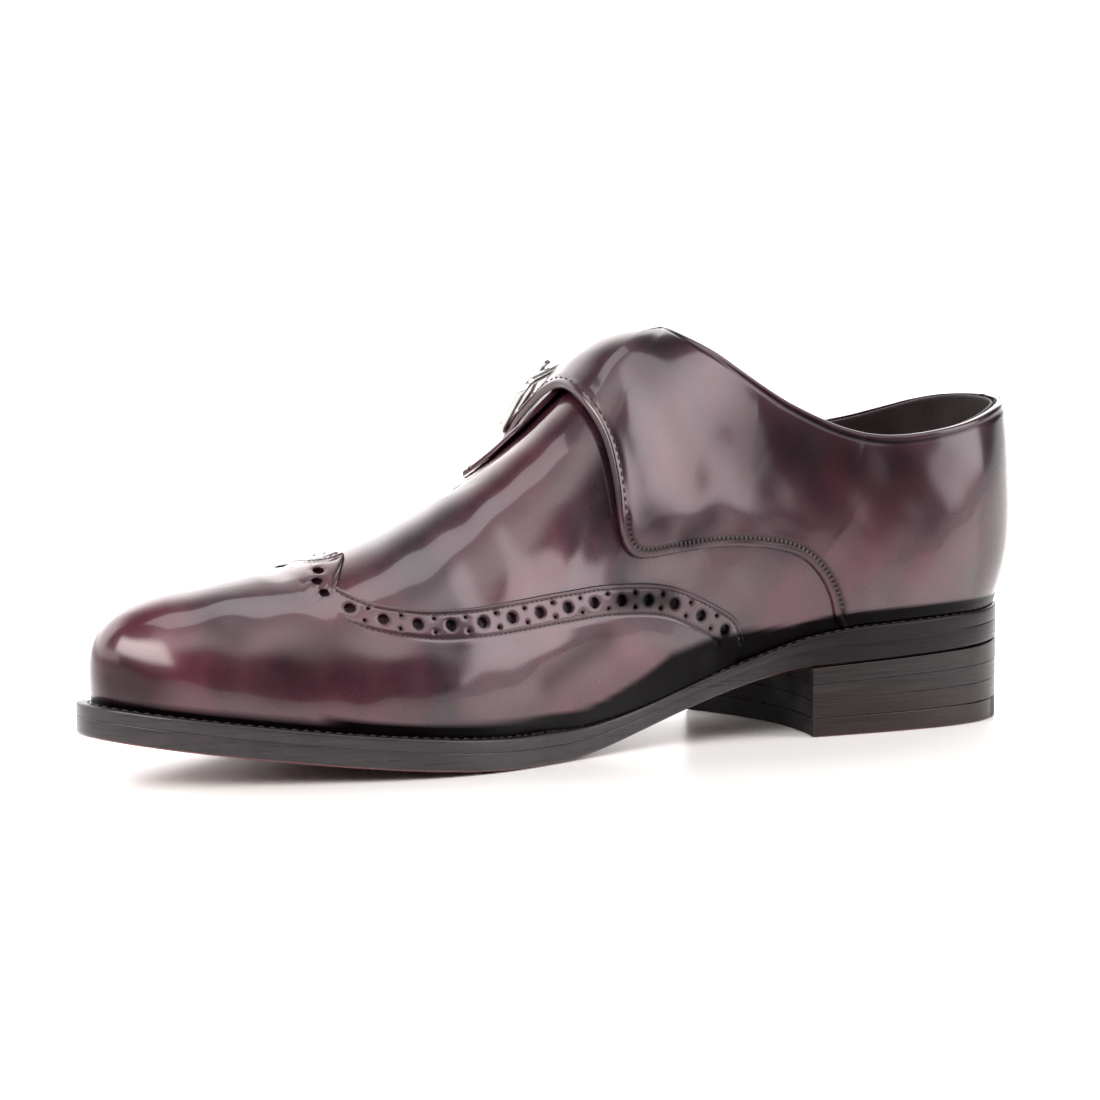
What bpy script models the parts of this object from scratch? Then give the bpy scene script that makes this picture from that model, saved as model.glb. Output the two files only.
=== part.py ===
# Right monk strap shoe: x runs from the heel to the toe, y to the medial side, z up, all in metres.

import bmesh
import bpy
import numpy as np
from math import pi
from mathutils import Matrix, Vector


# Named sizes, in metres
LENGTH = 0.305
BALL_WIDTH = 0.095
INSTEP_HEIGHT = 0.118
HEEL_HEIGHT = 0.0235
TOE_SPRING = 0.0137
SOLE_FORE, SOLE_WAIST, SOLE_HEEL = 0.0055, 0.0040, 0.0062
WELT_FORE, WELT_WAIST, WELT_HEEL = 0.0036, 0.0025, 0.0041
GAP = 0.0003
UPPER_GAP = 0.0005
BREAST = 0.262
BREAST_HEIGHT = 0.87
ARCH_END, SPRING_START = 0.558, 0.594
HEEL_POLE, TOE_POLE = 0.095, 0.892
TOPLINE_END = 0.372

# along the foot, medial edge, lateral edge: shares of LENGTH and BALL_WIDTH
OUTLINE = np.array([
    (0.00, 0.000, 0.000),
    (0.03, 0.242, -0.242),
    (0.08, 0.337, -0.342),
    (0.15, 0.363, -0.374),
    (0.25, 0.347, -0.389),
    (0.36, 0.310, -0.405),
    (0.46, 0.321, -0.453),
    (0.56, 0.410, -0.516),
    (0.64, 0.484, -0.516),
    (0.70, 0.495, -0.484),
    (0.76, 0.468, -0.432),
    (0.82, 0.416, -0.368),
    (0.88, 0.358, -0.295),
    (0.94, 0.284, -0.195),
    (0.98, 0.195, -0.095),
    (1.00, 0.053, 0.053),
])

# along, ridge height (share of INSTEP_HEIGHT), side (share of BALL_WIDTH)
RIDGE = np.array([
    (0.095, 1.290, 0.00),
    (0.230, 1.120, 0.00),
    (0.330, 1.018, 0.01),
    (0.385, 0.985, 0.03),
    (0.425, 0.956, 0.04),
    (0.462, 0.902, 0.05),
    (0.500, 0.822, 0.05),
    (0.541, 0.742, 0.05),
    (0.590, 0.670, 0.05),
    (0.640, 0.608, 0.06),
    (0.690, 0.554, 0.06),
    (0.750, 0.502, 0.06),
    (0.820, 0.466, 0.06),
    (0.892, 0.437, 0.05),
])

# along; how far the welt reaches out past the upper, how far the wall swells
# on each side, how high its swell stands and how far the top runs level (mm)
WALL = np.array([
    # along, reach m, reach l, swell m, swell l, rise m, rise l, shoulder m, shoulder l
    (0.00, 2.8, 2.8, 19.0, 19.0, 36.0, 36.0, 20.0, 20.0),
    (0.08, 2.6, 2.8,  9.0,  8.5, 40.0, 40.0, 15.0, 15.0),
    (0.16, 2.5, 2.8,  4.0,  3.5, 42.0, 42.0, 13.0, 13.0),
    (0.26, 2.5, 2.8,  6.0,  4.0, 44.0, 44.0, 13.0, 13.0),
    (0.36, 2.5, 3.0, 11.0,  6.0, 42.0, 42.0, 15.0, 15.0),
    (0.46, 2.6, 3.8, 13.0,  7.0, 38.0, 38.0, 17.0, 17.0),
    (0.56, 4.0, 4.8,  9.0,  6.0, 32.0, 31.0, 19.0, 20.0),
    (0.64, 5.0, 5.0,  5.5,  5.0, 27.0, 27.0, 19.0, 22.0),
    (0.72, 5.2, 5.2,  4.0,  4.0, 24.0, 24.0, 18.0, 20.0),
    (0.80, 5.4, 5.4,  3.2,  3.2, 22.0, 22.0, 17.0, 18.0),
    (0.88, 5.8, 5.8,  3.0,  3.0, 20.0, 20.0, 16.0, 16.0),
    (0.94, 6.0, 6.0,  3.4,  3.4, 19.5, 19.5, 18.0, 18.0),
    (1.00, 6.5, 6.5,  4.0,  4.0, 18.5, 18.5, 25.0, 25.0),
])

# along (of the point itself), height of the top edge on each side (shares of LENGTH, INSTEP_HEIGHT)
TOPLINE = np.array([
    (-0.030, 0.800, 0.800),
    (0.010, 0.790, 0.790),
    (0.060, 0.762, 0.755),
    (0.120, 0.738, 0.728),
    (0.170, 0.735, 0.722),
    (0.215, 0.760, 0.742),
    (0.255, 0.806, 0.785),
    (0.290, 0.862, 0.845),
    (0.330, 0.945, 0.935),
    (0.370, 0.997, 0.997),
    (0.400, 1.020, 1.020),
])


def natural(rows, column):
    """A smooth curve through one column of a table, over its first column."""
    x, y = rows[:, 0], rows[:, column]
    n, h = len(x), np.diff(x)
    system, right = np.eye(n), np.zeros(n)
    for i in range(1, n - 1):
        system[i, i - 1:i + 2] = h[i - 1], 2 * (h[i - 1] + h[i]), h[i]
        right[i] = 6 * ((y[i + 1] - y[i]) / h[i] - (y[i] - y[i - 1]) / h[i - 1])
    bend = np.linalg.solve(system, right)

    def curve(q):
        q = np.clip(q, x[0], x[-1])
        i = np.clip(np.searchsorted(x, q, side="right") - 1, 0, n - 2)
        a, b = q - x[i], x[i + 1] - q
        return ((bend[i] * b**3 + bend[i + 1] * a**3) / (6 * h[i])
                + (y[i] / h[i] - bend[i] * h[i] / 6) * b + (y[i + 1] / h[i] - bend[i + 1] * h[i] / 6) * a)
    return curve


def around(rows, medial, lateral):
    """A smooth closed curve over the angle round the foot, from a medial and a lateral column."""
    angle = np.arccos(1 - 2 * rows[:, 0])
    s = np.concatenate([angle, 2 * pi - angle[-2:0:-1]])
    y = np.concatenate([rows[:, lateral], rows[-2:0:-1, medial]])
    n = len(s)
    h = np.diff(np.append(s, 2 * pi))
    system, right = np.zeros((n, n)), np.zeros(n)
    for i in range(n):
        j = (i + 1) % n
        system[i, i - 1] += h[i - 1]
        system[i, i] += 2 * (h[i - 1] + h[i])
        system[i, j] += h[i]
        right[i] = 6 * ((y[j] - y[i]) / h[i] - (y[i] - y[i - 1]) / h[i - 1])
    bend = np.linalg.solve(system, right)

    def curve(q):
        q = np.mod(q, 2 * pi)
        i = np.clip(np.searchsorted(s, q, side="right") - 1, 0, n - 1)
        j = (i + 1) % n
        a, b = q - s[i], s[i] + h[i] - q
        return ((bend[i] * b**3 + bend[j] * a**3) / (6 * h[i])
                + (y[i] / h[i] - bend[i] * h[i] / 6) * b + (y[j] / h[i] - bend[j] * h[i] / 6) * a)
    return curve


edge_side = around(OUTLINE, 1, 2)
ridge_height, ridge_side = natural(RIDGE, 1), natural(RIDGE, 2)
reach, swell, rise, shoulder = (around(WALL, k, k + 1) for k in (1, 3, 5, 7))
topline_medial, topline_lateral = natural(TOPLINE, 1), natural(TOPLINE, 2)


def angle_of(along, side):
    """The angle round the foot of a station: side +1 is medial, -1 lateral."""
    s = np.arccos(np.clip(1 - 2 * np.asarray(along, float), -1, 1))
    return np.where(np.asarray(side) > 0, 2 * pi - s, s)


def outline(s, inset=0.0):
    """Points of the sole's edge seen from above, moved inwards by inset."""
    s = np.asarray(s, float)
    d = 1e-4
    x = LENGTH * (1 - np.cos(s)) / 2
    y = BALL_WIDTH * edge_side(s)
    dx = LENGTH * np.sin(s) / 2
    dy = BALL_WIDTH * (edge_side(s + d) - edge_side(s - d)) / (2 * d)
    size = np.hypot(dx, dy)
    return x - inset * dy / size, y + inset * dx / size


def sole_bottom(x):
    """Height of the outsole's underside: seat, arch, tread, toe spring."""
    u = np.asarray(x, float) / LENGTH
    top, breast = HEEL_HEIGHT, HEEL_HEIGHT * BREAST_HEIGHT
    slope = (breast - top) / BREAST
    span = ARCH_END - BREAST
    t = np.clip((u - BREAST) / span, 0, 1)
    arch = breast * (1 - 3 * t**2 + 2 * t**3) + 2.0 * slope * span * (t - 2 * t**2 + t**3)
    toe = TOE_SPRING * np.clip((u - SPRING_START) / (1 - SPRING_START), 0, None)**1.5
    return np.where(u < BREAST, top + slope * u, arch + toe)


def ease(u, a, b):
    t = np.clip((u - a) / (b - a), 0, 1)
    return t * t * (3 - 2 * t)


def layer(x, fore, waist, heel):
    """Thickness along the foot of a layer that is thinner at the waist."""
    u = np.asarray(x, float) / LENGTH
    return waist + (fore - waist) * ease(u, 0.42, 0.58) + (heel - waist) * ease(-u, -0.34, -0.20)


def outsole_top(x):
    return sole_bottom(x) + layer(x, SOLE_FORE, SOLE_WAIST, SOLE_HEEL)


def welt_bottom(x):
    return outsole_top(x) + GAP


def welt_top(x):
    return welt_bottom(x) + layer(x, WELT_FORE, WELT_WAIST, WELT_HEEL)


def ridge_slope(share):
    """How steeply the ridge climbs at a share of the length."""
    d = 1e-3
    share = np.clip(share, HEEL_POLE + d, TOE_POLE - d)
    return INSTEP_HEIGHT * (ridge_height(share + d) - ridge_height(share - d)) / (LENGTH * 2 * d)


def surface(s, t):
    """Outer face of the upper: s turns round the foot, t climbs from the welt (0) to the ridge (1) and over it (2)."""
    s, t = np.broadcast_arrays(np.asarray(s, float), np.asarray(t, float))
    over = t > 1
    s = np.mod(np.where(over, 2 * pi - s, s), 2 * pi)
    t = np.where(over, 2 - t, t)
    along = (1 - np.cos(s)) / 2
    foot_x, foot_y = outline(s, reach(s) / 1000)
    foot_z = welt_top(foot_x) + UPPER_GAP
    out_x, out_y = outline(s, (reach(s) - swell(s)) / 1000)
    rx = HEEL_POLE + (TOE_POLE - HEEL_POLE) * along
    slope = ridge_slope(rx)
    top = np.stack([LENGTH * rx, BALL_WIDTH * ridge_side(rx), INSTEP_HEIGHT * ridge_height(rx)], -1)
    dx, dy = foot_x - top[..., 0], foot_y - top[..., 1]
    size = np.hypot(dx, dy)
    run = shoulder(s) / 1000
    level = top + np.stack([run * dx / size, run * dy / size, slope * run * dx / size], -1)
    foot = np.stack([foot_x, foot_y, foot_z], -1)
    out = np.stack([out_x, out_y, foot_z + rise(s) / 1000], -1)
    t = t[..., None]
    return (1 - t)**3 * foot + 3 * (1 - t)**2 * t * out + 3 * (1 - t) * t**2 * level + t**3 * top


def outward(s, t):
    """Unit normals of the upper's outer face."""
    s, t = np.broadcast_arrays(np.asarray(s, float), np.asarray(t, float))
    slope = ridge_slope(HEEL_POLE + (TOE_POLE - HEEL_POLE) * (1 - np.cos(s)) / 2)
    level = np.stack([-slope, 0 * slope, 1 + 0 * slope], -1)
    near = np.where(np.abs(t - 1) < 0.01, np.where(t > 1, 1.01, 0.99), t)
    d = 1e-3
    around_foot = surface(s + d, near) - surface(s - d, near)
    climbing = surface(s, near + d) - surface(s, near - d)
    n = np.where((np.abs(t - 1) < 0.002)[..., None], level, np.cross(around_foot, climbing))
    return n / np.linalg.norm(n, axis=-1, keepdims=True)


def top_edge(s):
    """Share t at which the upper ends at the topline."""
    s = np.mod(np.asarray(s, float), 2 * pi)
    medial = s > pi
    low, high = np.full(s.shape, 0.12), np.ones(s.shape)
    for _ in range(40):
        mid = (low + high) / 2
        p = surface(s, mid)
        u = p[..., 0] / LENGTH
        edge = INSTEP_HEIGHT * np.where(medial, topline_medial(u), topline_lateral(u))
        above = p[..., 2] > edge
        high, low = np.where(above, mid, high), np.where(above, low, mid)
    return np.where(high > 0.9999, 1.0, high)


# Sizes of the pieces
TREAD_STATIONS = (0.563, 0.589)
UPPER_WALL = 0.0018
OVERLAY = 0.0012
TAB_LIFT, TAB_THICK = 0.0024, 0.0009
WELT_WIDTH = 0.0110
INSOLE_THICK = 0.0028
INSOLE_ROOM = 0.0026
EDGE_BEVEL = 0.0009
BREAST_HOLLOW = 0.0065
HEEL_STEPS = (0.0, 0.27, 0.52, 0.76, 1.0)
RUBBER_LINE = ((0.165, -0.45), (0.030, 0.30))
CENTRE = (0.14910, -0.00128)
SEAM = 0.004
FOOT = 0.010
LIFT = 0.0008

# Wing cap's edge: along the welt, along and up at the edge (up: 0 welt, 1 ridge)
WING_MEDIAL = np.array([
    (0.345, 0.336, 0.050),
    (0.370, 0.345, 0.105),
    (0.400, 0.373, 0.166),
    (0.430, 0.403, 0.222),
    (0.465, 0.437, 0.271),
    (0.505, 0.484, 0.323),
    (0.545, 0.526, 0.361),
    (0.600, 0.590, 0.397),
    (0.650, 0.643, 0.420),
    (0.695, 0.695, 0.448),
    (0.727, 0.727, 0.480),
    (0.757, 0.758, 0.528),
    (0.783, 0.786, 0.603),
    (0.806, 0.804, 0.696),
    (0.822, 0.800, 0.802),
    (0.838, 0.791, 0.905),
    (0.850, 0.780, 1.000),
])
WING_LATERAL = np.array([
    (0.395, 0.385, 0.050),
    (0.415, 0.398, 0.110),
    (0.440, 0.420, 0.165),
    (0.465, 0.447, 0.215),
    (0.495, 0.480, 0.262),
    (0.530, 0.515, 0.305),
    (0.570, 0.557, 0.343),
    (0.615, 0.605, 0.378),
    (0.655, 0.650, 0.410),
    (0.695, 0.695, 0.448),
    (0.727, 0.727, 0.480),
    (0.757, 0.758, 0.528),
    (0.783, 0.786, 0.603),
    (0.806, 0.804, 0.696),
    (0.822, 0.800, 0.802),
    (0.838, 0.791, 0.905),
    (0.850, 0.780, 1.000),
])

# Medial quarter and strap: along and up of the front edge, along and up of the top edge
# (up over 1 is past the ridge), lift of each edge off the vamp and thickness in mm
QUARTER_STRAP = np.array([
    (0.000, 0.000, 0.000, 1.00, 0.8, 1.0, 1.2),
    (0.050, 0.000, 0.045, 1.00, 0.8, 1.0, 1.2),
    (0.120, 0.000, 0.095, 1.00, 0.8, 1.0, 1.2),
    (0.185, 0.000, 0.135, 1.00, 0.8, 1.0, 1.2),
    (0.228, 0.000, 0.165, 1.00, 0.8, 1.0, 1.2),
    (0.239, 0.058, 0.183, 1.00, 0.8, 1.0, 1.2),
    (0.252, 0.127, 0.203, 1.00, 0.8, 1.0, 1.2),
    (0.276, 0.185, 0.226, 1.00, 0.8, 1.0, 1.2),
    (0.311, 0.230, 0.250, 1.00, 0.8, 1.0, 1.2),
    (0.349, 0.266, 0.274, 1.00, 0.8, 1.0, 1.2),
    (0.398, 0.302, 0.296, 1.00, 0.8, 1.0, 1.2),
    (0.442, 0.334, 0.311, 1.00, 1.0, 1.0, 1.3),
    (0.468, 0.372, 0.321, 1.00, 1.3, 1.0, 1.4),
    (0.479, 0.440, 0.329, 1.00, 2.0, 1.0, 1.6),
    (0.479, 0.520, 0.335, 1.00, 2.8, 1.0, 1.8),
    (0.478, 0.610, 0.340, 1.00, 3.4, 1.0, 2.0),
    (0.479, 0.700, 0.343, 1.00, 4.0, 1.1, 2.1),
    (0.483, 0.800, 0.345, 1.00, 4.6, 1.2, 2.2),
    (0.486, 0.900, 0.347, 0.97, 5.0, 1.5, 2.3),
    (0.489, 1.000, 0.352, 1.03, 5.2, 2.5, 2.4),
    (0.493, 1.090, 0.366, 1.10, 5.2, 3.2, 2.4),
    (0.497, 1.170, 0.386, 1.18, 5.0, 3.8, 2.4),
    (0.500, 1.250, 0.404, 1.27, 4.8, 4.1, 2.4),
    (0.500, 1.310, 0.414, 1.36, 4.7, 4.3, 2.4),
])

# Lateral quarter, with the same columns
QUARTER_LATERAL = np.array([
    (0.000, 0.000, 0.000, 1.00, 0.6, 0.6, 1.2),
    (0.050, 0.000, 0.045, 1.00, 0.6, 0.6, 1.2),
    (0.120, 0.000, 0.100, 1.00, 0.6, 0.6, 1.2),
    (0.190, 0.000, 0.150, 1.00, 0.6, 0.6, 1.2),
    (0.245, 0.000, 0.190, 1.00, 0.6, 0.6, 1.2),
    (0.275, 0.020, 0.212, 1.00, 0.6, 0.6, 1.2),
    (0.293, 0.085, 0.228, 1.00, 0.6, 0.6, 1.2),
    (0.315, 0.165, 0.245, 1.00, 0.6, 0.6, 1.2),
    (0.343, 0.255, 0.262, 1.00, 0.6, 0.7, 1.2),
    (0.377, 0.345, 0.282, 1.00, 0.6, 0.8, 1.2),
    (0.415, 0.425, 0.302, 1.00, 0.7, 0.9, 1.2),
    (0.458, 0.505, 0.318, 1.00, 0.8, 1.0, 1.2),
    (0.505, 0.600, 0.332, 0.99, 0.9, 1.0, 1.2),
    (0.548, 0.705, 0.346, 0.96, 1.0, 1.1, 1.2),
    (0.580, 0.800, 0.380, 0.95, 1.1, 1.4, 1.2),
    (0.600, 0.870, 0.440, 0.95, 1.1, 2.2, 1.2),
    (0.612, 0.920, 0.530, 0.95, 1.1, 2.3, 1.2),
])

# Buckle
BUCKLE_SPOT = (0.457, 1.290)
BUCKLE_LIFT = 0.0086
BUCKLE_SIZE = (0.0265, 0.0225)
BUCKLE_CORNER = 0.0035
BUCKLE_BAR = 0.0012
PIN_RADIUS = 0.0009
CHAPE_WIDE, CHAPE_LONG, CHAPE_DEPTH = 0.0200, 0.0036, (-0.0058, -0.0015)


def material(name, colour, roughness, metal=0.0):
    made = bpy.data.materials.new(name)
    made.use_nodes = True
    shader = made.node_tree.nodes["Principled BSDF"]
    shader.inputs["Base Color"].default_value = (*colour, 1.0)
    shader.inputs["Roughness"].default_value = roughness
    shader.inputs["Metallic"].default_value = metal
    return made


def add_mesh(name, points, faces, made):
    """A mesh object with every face turned outwards, moved so that the shoe's box is centred on the origin."""
    mesh = bpy.data.meshes.new(name)
    mesh.from_pydata((np.array(points) - (*CENTRE, 0.0)).tolist(), [], faces)
    work = bmesh.new()
    work.from_mesh(mesh)
    bmesh.ops.remove_doubles(work, verts=work.verts, dist=1e-6)
    if not any(edge.is_boundary for edge in work.edges):
        bmesh.ops.recalc_face_normals(work, faces=work.faces)
    work.to_mesh(mesh)
    work.free()
    mesh.materials.append(made)
    mesh.shade_smooth()
    mesh.set_sharp_from_angle(angle=0.6)
    piece = bpy.data.objects.new(name, mesh)
    shoe.objects.link(piece)
    return piece


def add_shell(name, sheet, wrap, wall, grows, made, shares=None):
    """A sheet of points in rows, facing out, with a wall: grows is -1 inwards or +1 outwards."""
    rows, columns = sheet.shape[:2]
    piece = add_mesh(name, sheet.reshape(-1, 3), sheet_faces(rows, columns, wrap), made)
    solid = piece.modifiers.new("Wall", "SOLIDIFY")
    solid.thickness = wall
    solid.offset = grows
    if shares is not None:
        group = piece.vertex_groups.new(name="wall")
        for vertex in piece.data.vertices:
            group.add([vertex.index], float(shares.reshape(-1)[vertex.index]), "REPLACE")
        solid.vertex_group = group.name
    return piece


def sheet_faces(rows, columns, wrap=False):
    faces = []
    for i in range(rows if wrap else rows - 1):
        j = (i + 1) % rows
        for k in range(columns - 1):
            faces.append([i * columns + k, j * columns + k, j * columns + k + 1, i * columns + k + 1])
    return faces


def stations():
    """Angles round the foot for the sole's pieces, with one flat step under the ball."""
    tread = angle_of(TREAD_STATIONS, -1)
    half = np.concatenate([np.linspace(0, tread[0], 19), np.linspace(tread[1], pi, 14)])
    return np.concatenate([half, 2 * pi - half[-2:0:-1]])


def ring_points(inset, height):
    """A closed loop round the foot: height is a function of x."""
    x, y = outline(stations(), inset)
    return np.stack([x, y, height(x)], -1)


def lofted(loops):
    """A closed piece from loops going up, with ladders of faces across the first and the last."""
    n = len(loops[0])
    points = np.concatenate(loops)
    faces = []
    for r in range(len(loops) - 1):
        for k in range(n):
            j = (k + 1) % n
            faces.append([r * n + j, r * n + k, (r + 1) * n + k, (r + 1) * n + j])
    last = (len(loops) - 1) * n
    for k in range(n // 2):
        ladder = [k, k + 1, (n - k - 1) % n, (n - k) % n]
        corners = []
        for c in ladder:
            if c not in corners:
                corners.append(c)
        faces.append(corners)
        faces.append([last + c for c in reversed(corners)])
    return points, faces


def ringed(loops):
    """A closed band from loops that go round its section."""
    n, m = len(loops[0]), len(loops)
    points = np.concatenate(loops)
    faces = []
    for r in range(m):
        q = (r + 1) % m
        for k in range(n):
            j = (k + 1) % n
            faces.append([r * n + j, r * n + k, q * n + k, q * n + j])
    return points, faces


def above(height, rise):
    return lambda x: height(x) + rise


def build_outsole():
    b = EDGE_BEVEL
    loops = [
        ring_points(1.6 * b, sole_bottom),
        ring_points(0.5 * b, above(sole_bottom, 0.5 * b)),
        ring_points(0.0, above(sole_bottom, 1.4 * b)),
        ring_points(0.0, above(outsole_top, -0.5 * b)),
        ring_points(0.5 * b, outsole_top),
    ]
    add_mesh("outsole", *lofted(loops), edge_leather)


def build_welt():
    b = EDGE_BEVEL
    loops = [
        ring_points(WELT_WIDTH, welt_bottom),
        ring_points(0.5 * b, welt_bottom),
        ring_points(0.0, above(welt_bottom, 0.5 * b)),
        ring_points(0.0, above(welt_top, -0.6 * b)),
        ring_points(0.6 * b, welt_top),
        ring_points(WELT_WIDTH, welt_top),
    ]
    add_mesh("welt", *ringed(loops), edge_leather)


def build_insole():
    s = stations()
    x, y = outline(s, reach(s) / 1000 + INSOLE_ROOM)
    wide_low = np.stack([x, y, welt_top(x) + GAP], -1)
    wide_high = np.stack([x, y, welt_top(x) + GAP + INSOLE_THICK], -1)
    loops = [
        ring_points(WELT_WIDTH + GAP, above(outsole_top, GAP)),
        ring_points(WELT_WIDTH + GAP, above(welt_top, GAP)),
        wide_low,
        wide_high,
    ]
    add_mesh("insole", *lofted(loops), lining_leather)


def heel_plan(inset):
    """The heel's outline seen from above, with its hollowed breast."""
    corner = angle_of(BREAST, -1)
    s = np.linspace(-corner, corner, 29)
    x, y = outline(s, inset)
    across = np.linspace(-1, 1, 11)[1:-1]
    front_x = x[-1] - BREAST_HOLLOW * (1 - across**2)
    side = np.linspace(y[-1], y[0], 11)[1:-1]
    return np.concatenate([np.stack([x, y], -1), np.stack([front_x, side], -1)])


def prism(plan, low, high):
    """A closed piece over a plan, between two heights that depend on x."""
    n = len(plan)
    bottom = np.column_stack([plan, low(plan[:, 0])])
    top = np.column_stack([plan, high(plan[:, 0])])
    faces = [[k, (k + 1) % n, (k + 1) % n + n, k + n] for k in range(n)]
    faces.append(list(range(n - 1, -1, -1)))
    faces.append(list(range(n, 2 * n)))
    return np.concatenate([bottom, top]), faces


def cut_plan(plan, start, end, inset):
    """The part of a plan to the left of the line from start to end, kept inset away from it."""
    along = np.array(end) - np.array(start)
    normal = np.array([-along[1], along[0]]) / np.hypot(*along)
    side = (plan - np.array(start)) @ normal - inset
    kept = []
    for k in range(len(plan)):
        a, b = side[k - 1], side[k]
        if (a < 0) != (b < 0):
            kept.append(plan[k - 1] + (plan[k] - plan[k - 1]) * a / (a - b))
        if b >= 0:
            kept.append(plan[k])
    return np.array(kept)


def build_heel():
    def level(share, rise):
        return lambda x: share * sole_bottom(x) + rise

    half = GAP / 2
    for k in range(1, 4):
        low, high = HEEL_STEPS[k], HEEL_STEPS[k + 1]
        plan = heel_plan(0.0002 * (3 - k))
        top_gap = 0.0005 if k == 3 else half
        add_mesh(f"heel_lift_{k}", *prism(plan, level(low, half), level(high, -top_gap)), edge_leather)
    plan = heel_plan(0.0003)
    start = (RUBBER_LINE[0][0] * LENGTH, RUBBER_LINE[0][1] * BALL_WIDTH)
    end = (RUBBER_LINE[1][0] * LENGTH, RUBBER_LINE[1][1] * BALL_WIDTH)
    top = level(HEEL_STEPS[1], -half)
    floor = level(0.0, 0.0)
    add_mesh("heel_top_rubber", *prism(cut_plan(plan, start, end, half), floor, top), rubber)
    add_mesh("heel_top_leather", *prism(cut_plan(plan, end, start, half), floor, top), sole_leather)


def climbing(count):
    """Shares from 0 to 1, closer together towards the ridge, where the form is tightest."""
    return 1 - (1 - np.linspace(0, 1, count))**1.35


def build_upper():
    throat = float(np.arccos(1 - 2 * (TOPLINE_END - HEEL_POLE) / (TOE_POLE - HEEL_POLE)))
    behind = throat * (1 - (1 - np.linspace(0, 1, 17))**1.4)
    ahead = throat + (pi - throat) * np.linspace(0, 1, 22)[1:]
    half = np.concatenate([behind, ahead])
    s = np.concatenate([half, 2 * pi - half[-2:0:-1]])
    share = climbing(14)
    top = np.where(np.minimum(s, 2 * pi - s) > throat - 1e-6, 1.0, top_edge(s))
    t = share[None] * top[:, None]
    add_shell("upper", surface(s[:, None], t), True, UPPER_WALL, -1, upper_leather)


def smooth_rows(rows, count, side):
    """Rows of a table followed by smooth curves, count of them, evenly apart on the foot."""
    at = np.arange(len(rows), dtype=float)
    numbered = np.column_stack([at, rows])
    fine = np.linspace(0, len(rows) - 1, 400)
    along = np.clip(natural(numbered, 1)(fine), 0, 1)
    up = natural(numbered, 2)(fine) if rows.shape[1] > 3 else natural(numbered, 3)(fine)
    place = surface(angle_of(along, side), up)
    gone = np.append(0, np.cumsum(np.linalg.norm(np.diff(place, axis=0), axis=1)))
    q = np.interp(np.linspace(0, gone[-1], count), gone, fine)
    return np.stack([natural(numbered, k + 1)(q) for k in range(rows.shape[1])], -1)


def lifted(s, t, lift):
    """Points that stand off the upper by lift."""
    return surface(s, t) + np.asarray(lift)[..., None] * outward(s, t)


def build_wing_cap():
    rungs = []
    for table, side, turn in ((WING_LATERAL, -1, 1), (WING_MEDIAL, 1, -1)):
        rows = smooth_rows(table, 22, side)
        rows[-1] = table[-1]
        over = np.linspace(0, 1, 8)[1:]
        welt = 0.85 + 0.15 * (1 - (1 - over)**2)
        edge = 0.78 + 0.22 * (1 - (1 - over)**2)
        rows = np.concatenate([rows, np.stack([welt, edge, np.ones(len(over))], -1)])
        low, high = angle_of(rows[:, 0], side), angle_of(rows[:, 1], side)
        part = np.stack([low, high, np.clip(rows[:, 2], 0, 1)], -1)
        rungs.append(part if turn > 0 else part[-2::-1])
    rungs = np.concatenate(rungs)
    u = climbing(9)[None]
    s = rungs[:, :1] + (rungs[:, 1:2] - rungs[:, :1]) * u
    t = FOOT + (rungs[:, 2:3] - FOOT) * u
    add_shell("wing_cap", lifted(s, t, LIFT * (1 + 1.2 * t**2)), False, OVERLAY, 1, upper_leather)


def build_quarter(name, table, side, count, across):
    rows = smooth_rows(table, count, side)
    low, high = angle_of(np.clip(rows[:, 0], 0, 1), side), angle_of(np.clip(rows[:, 2], 0, 1), side)
    if side > 0:
        low, high = np.minimum(low, 2 * pi - SEAM), np.minimum(high, 2 * pi - SEAM)
    else:
        low, high = np.maximum(low, SEAM), np.maximum(high, SEAM)
    top = np.where(rows[:, 3] > 1.001, rows[:, 3], np.minimum(rows[:, 3], 1) * top_edge(high))
    u = climbing(across)[None]
    s = low[:, None] + (high - low)[:, None] * u
    up = np.clip(rows[:, 1:2], FOOT, None)
    t = up + (top[:, None] - up) * u
    lift = (rows[:, 4:5] + (rows[:, 5:6] - rows[:, 4:5]) * u) / 1000
    sheet, thick = lifted(s, t, lift), rows[:, 6:7] * np.ones_like(u)
    if side > 0:
        sheet, thick = sheet[::-1], thick[::-1]
    wall = float(thick.max())
    add_shell(name, sheet, False, wall / 1000, 1, upper_leather, thick / wall)


def build_heel_tab():
    s = np.linspace(-0.115, 0.115, 9)
    top = top_edge(s)
    u = np.linspace(0, 1, 7)[None]
    narrow = 1 - 0.35 * (1 - u)**2
    turned = s[:, None] * narrow
    t = top[:, None] * (0.80 + 0.20 * u)
    sheet = lifted(turned, t, np.full(t.shape, TAB_LIFT))
    add_shell("heel_tab", sheet, False, TAB_THICK, 1, upper_leather)


def buckle_place():
    """Axes of the buckle: across the strap (toe end first), down the strap, out of it."""
    along, up = BUCKLE_SPOT
    s = float(angle_of(along, 1))
    out = outward(s, up)
    centre = surface(s, up) + BUCKLE_LIFT * out
    down = surface(s, up + 0.05) - surface(s, up - 0.05)
    down = down - out * (down @ out)
    down = down / np.linalg.norm(down)
    across = np.cross(down, out)
    return centre, across, down, out


def buckle_frame_of_reference():
    """The matrix that puts a piece drawn about the origin at the buckle's place."""
    centre, across, down, out = buckle_place()
    place = Matrix.Identity(4)
    for k, axis in enumerate((across, down, out, centre - np.array([*CENTRE, 0.0]))):
        for i in range(3):
            place[i][k] = axis[i]
    return place


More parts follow.
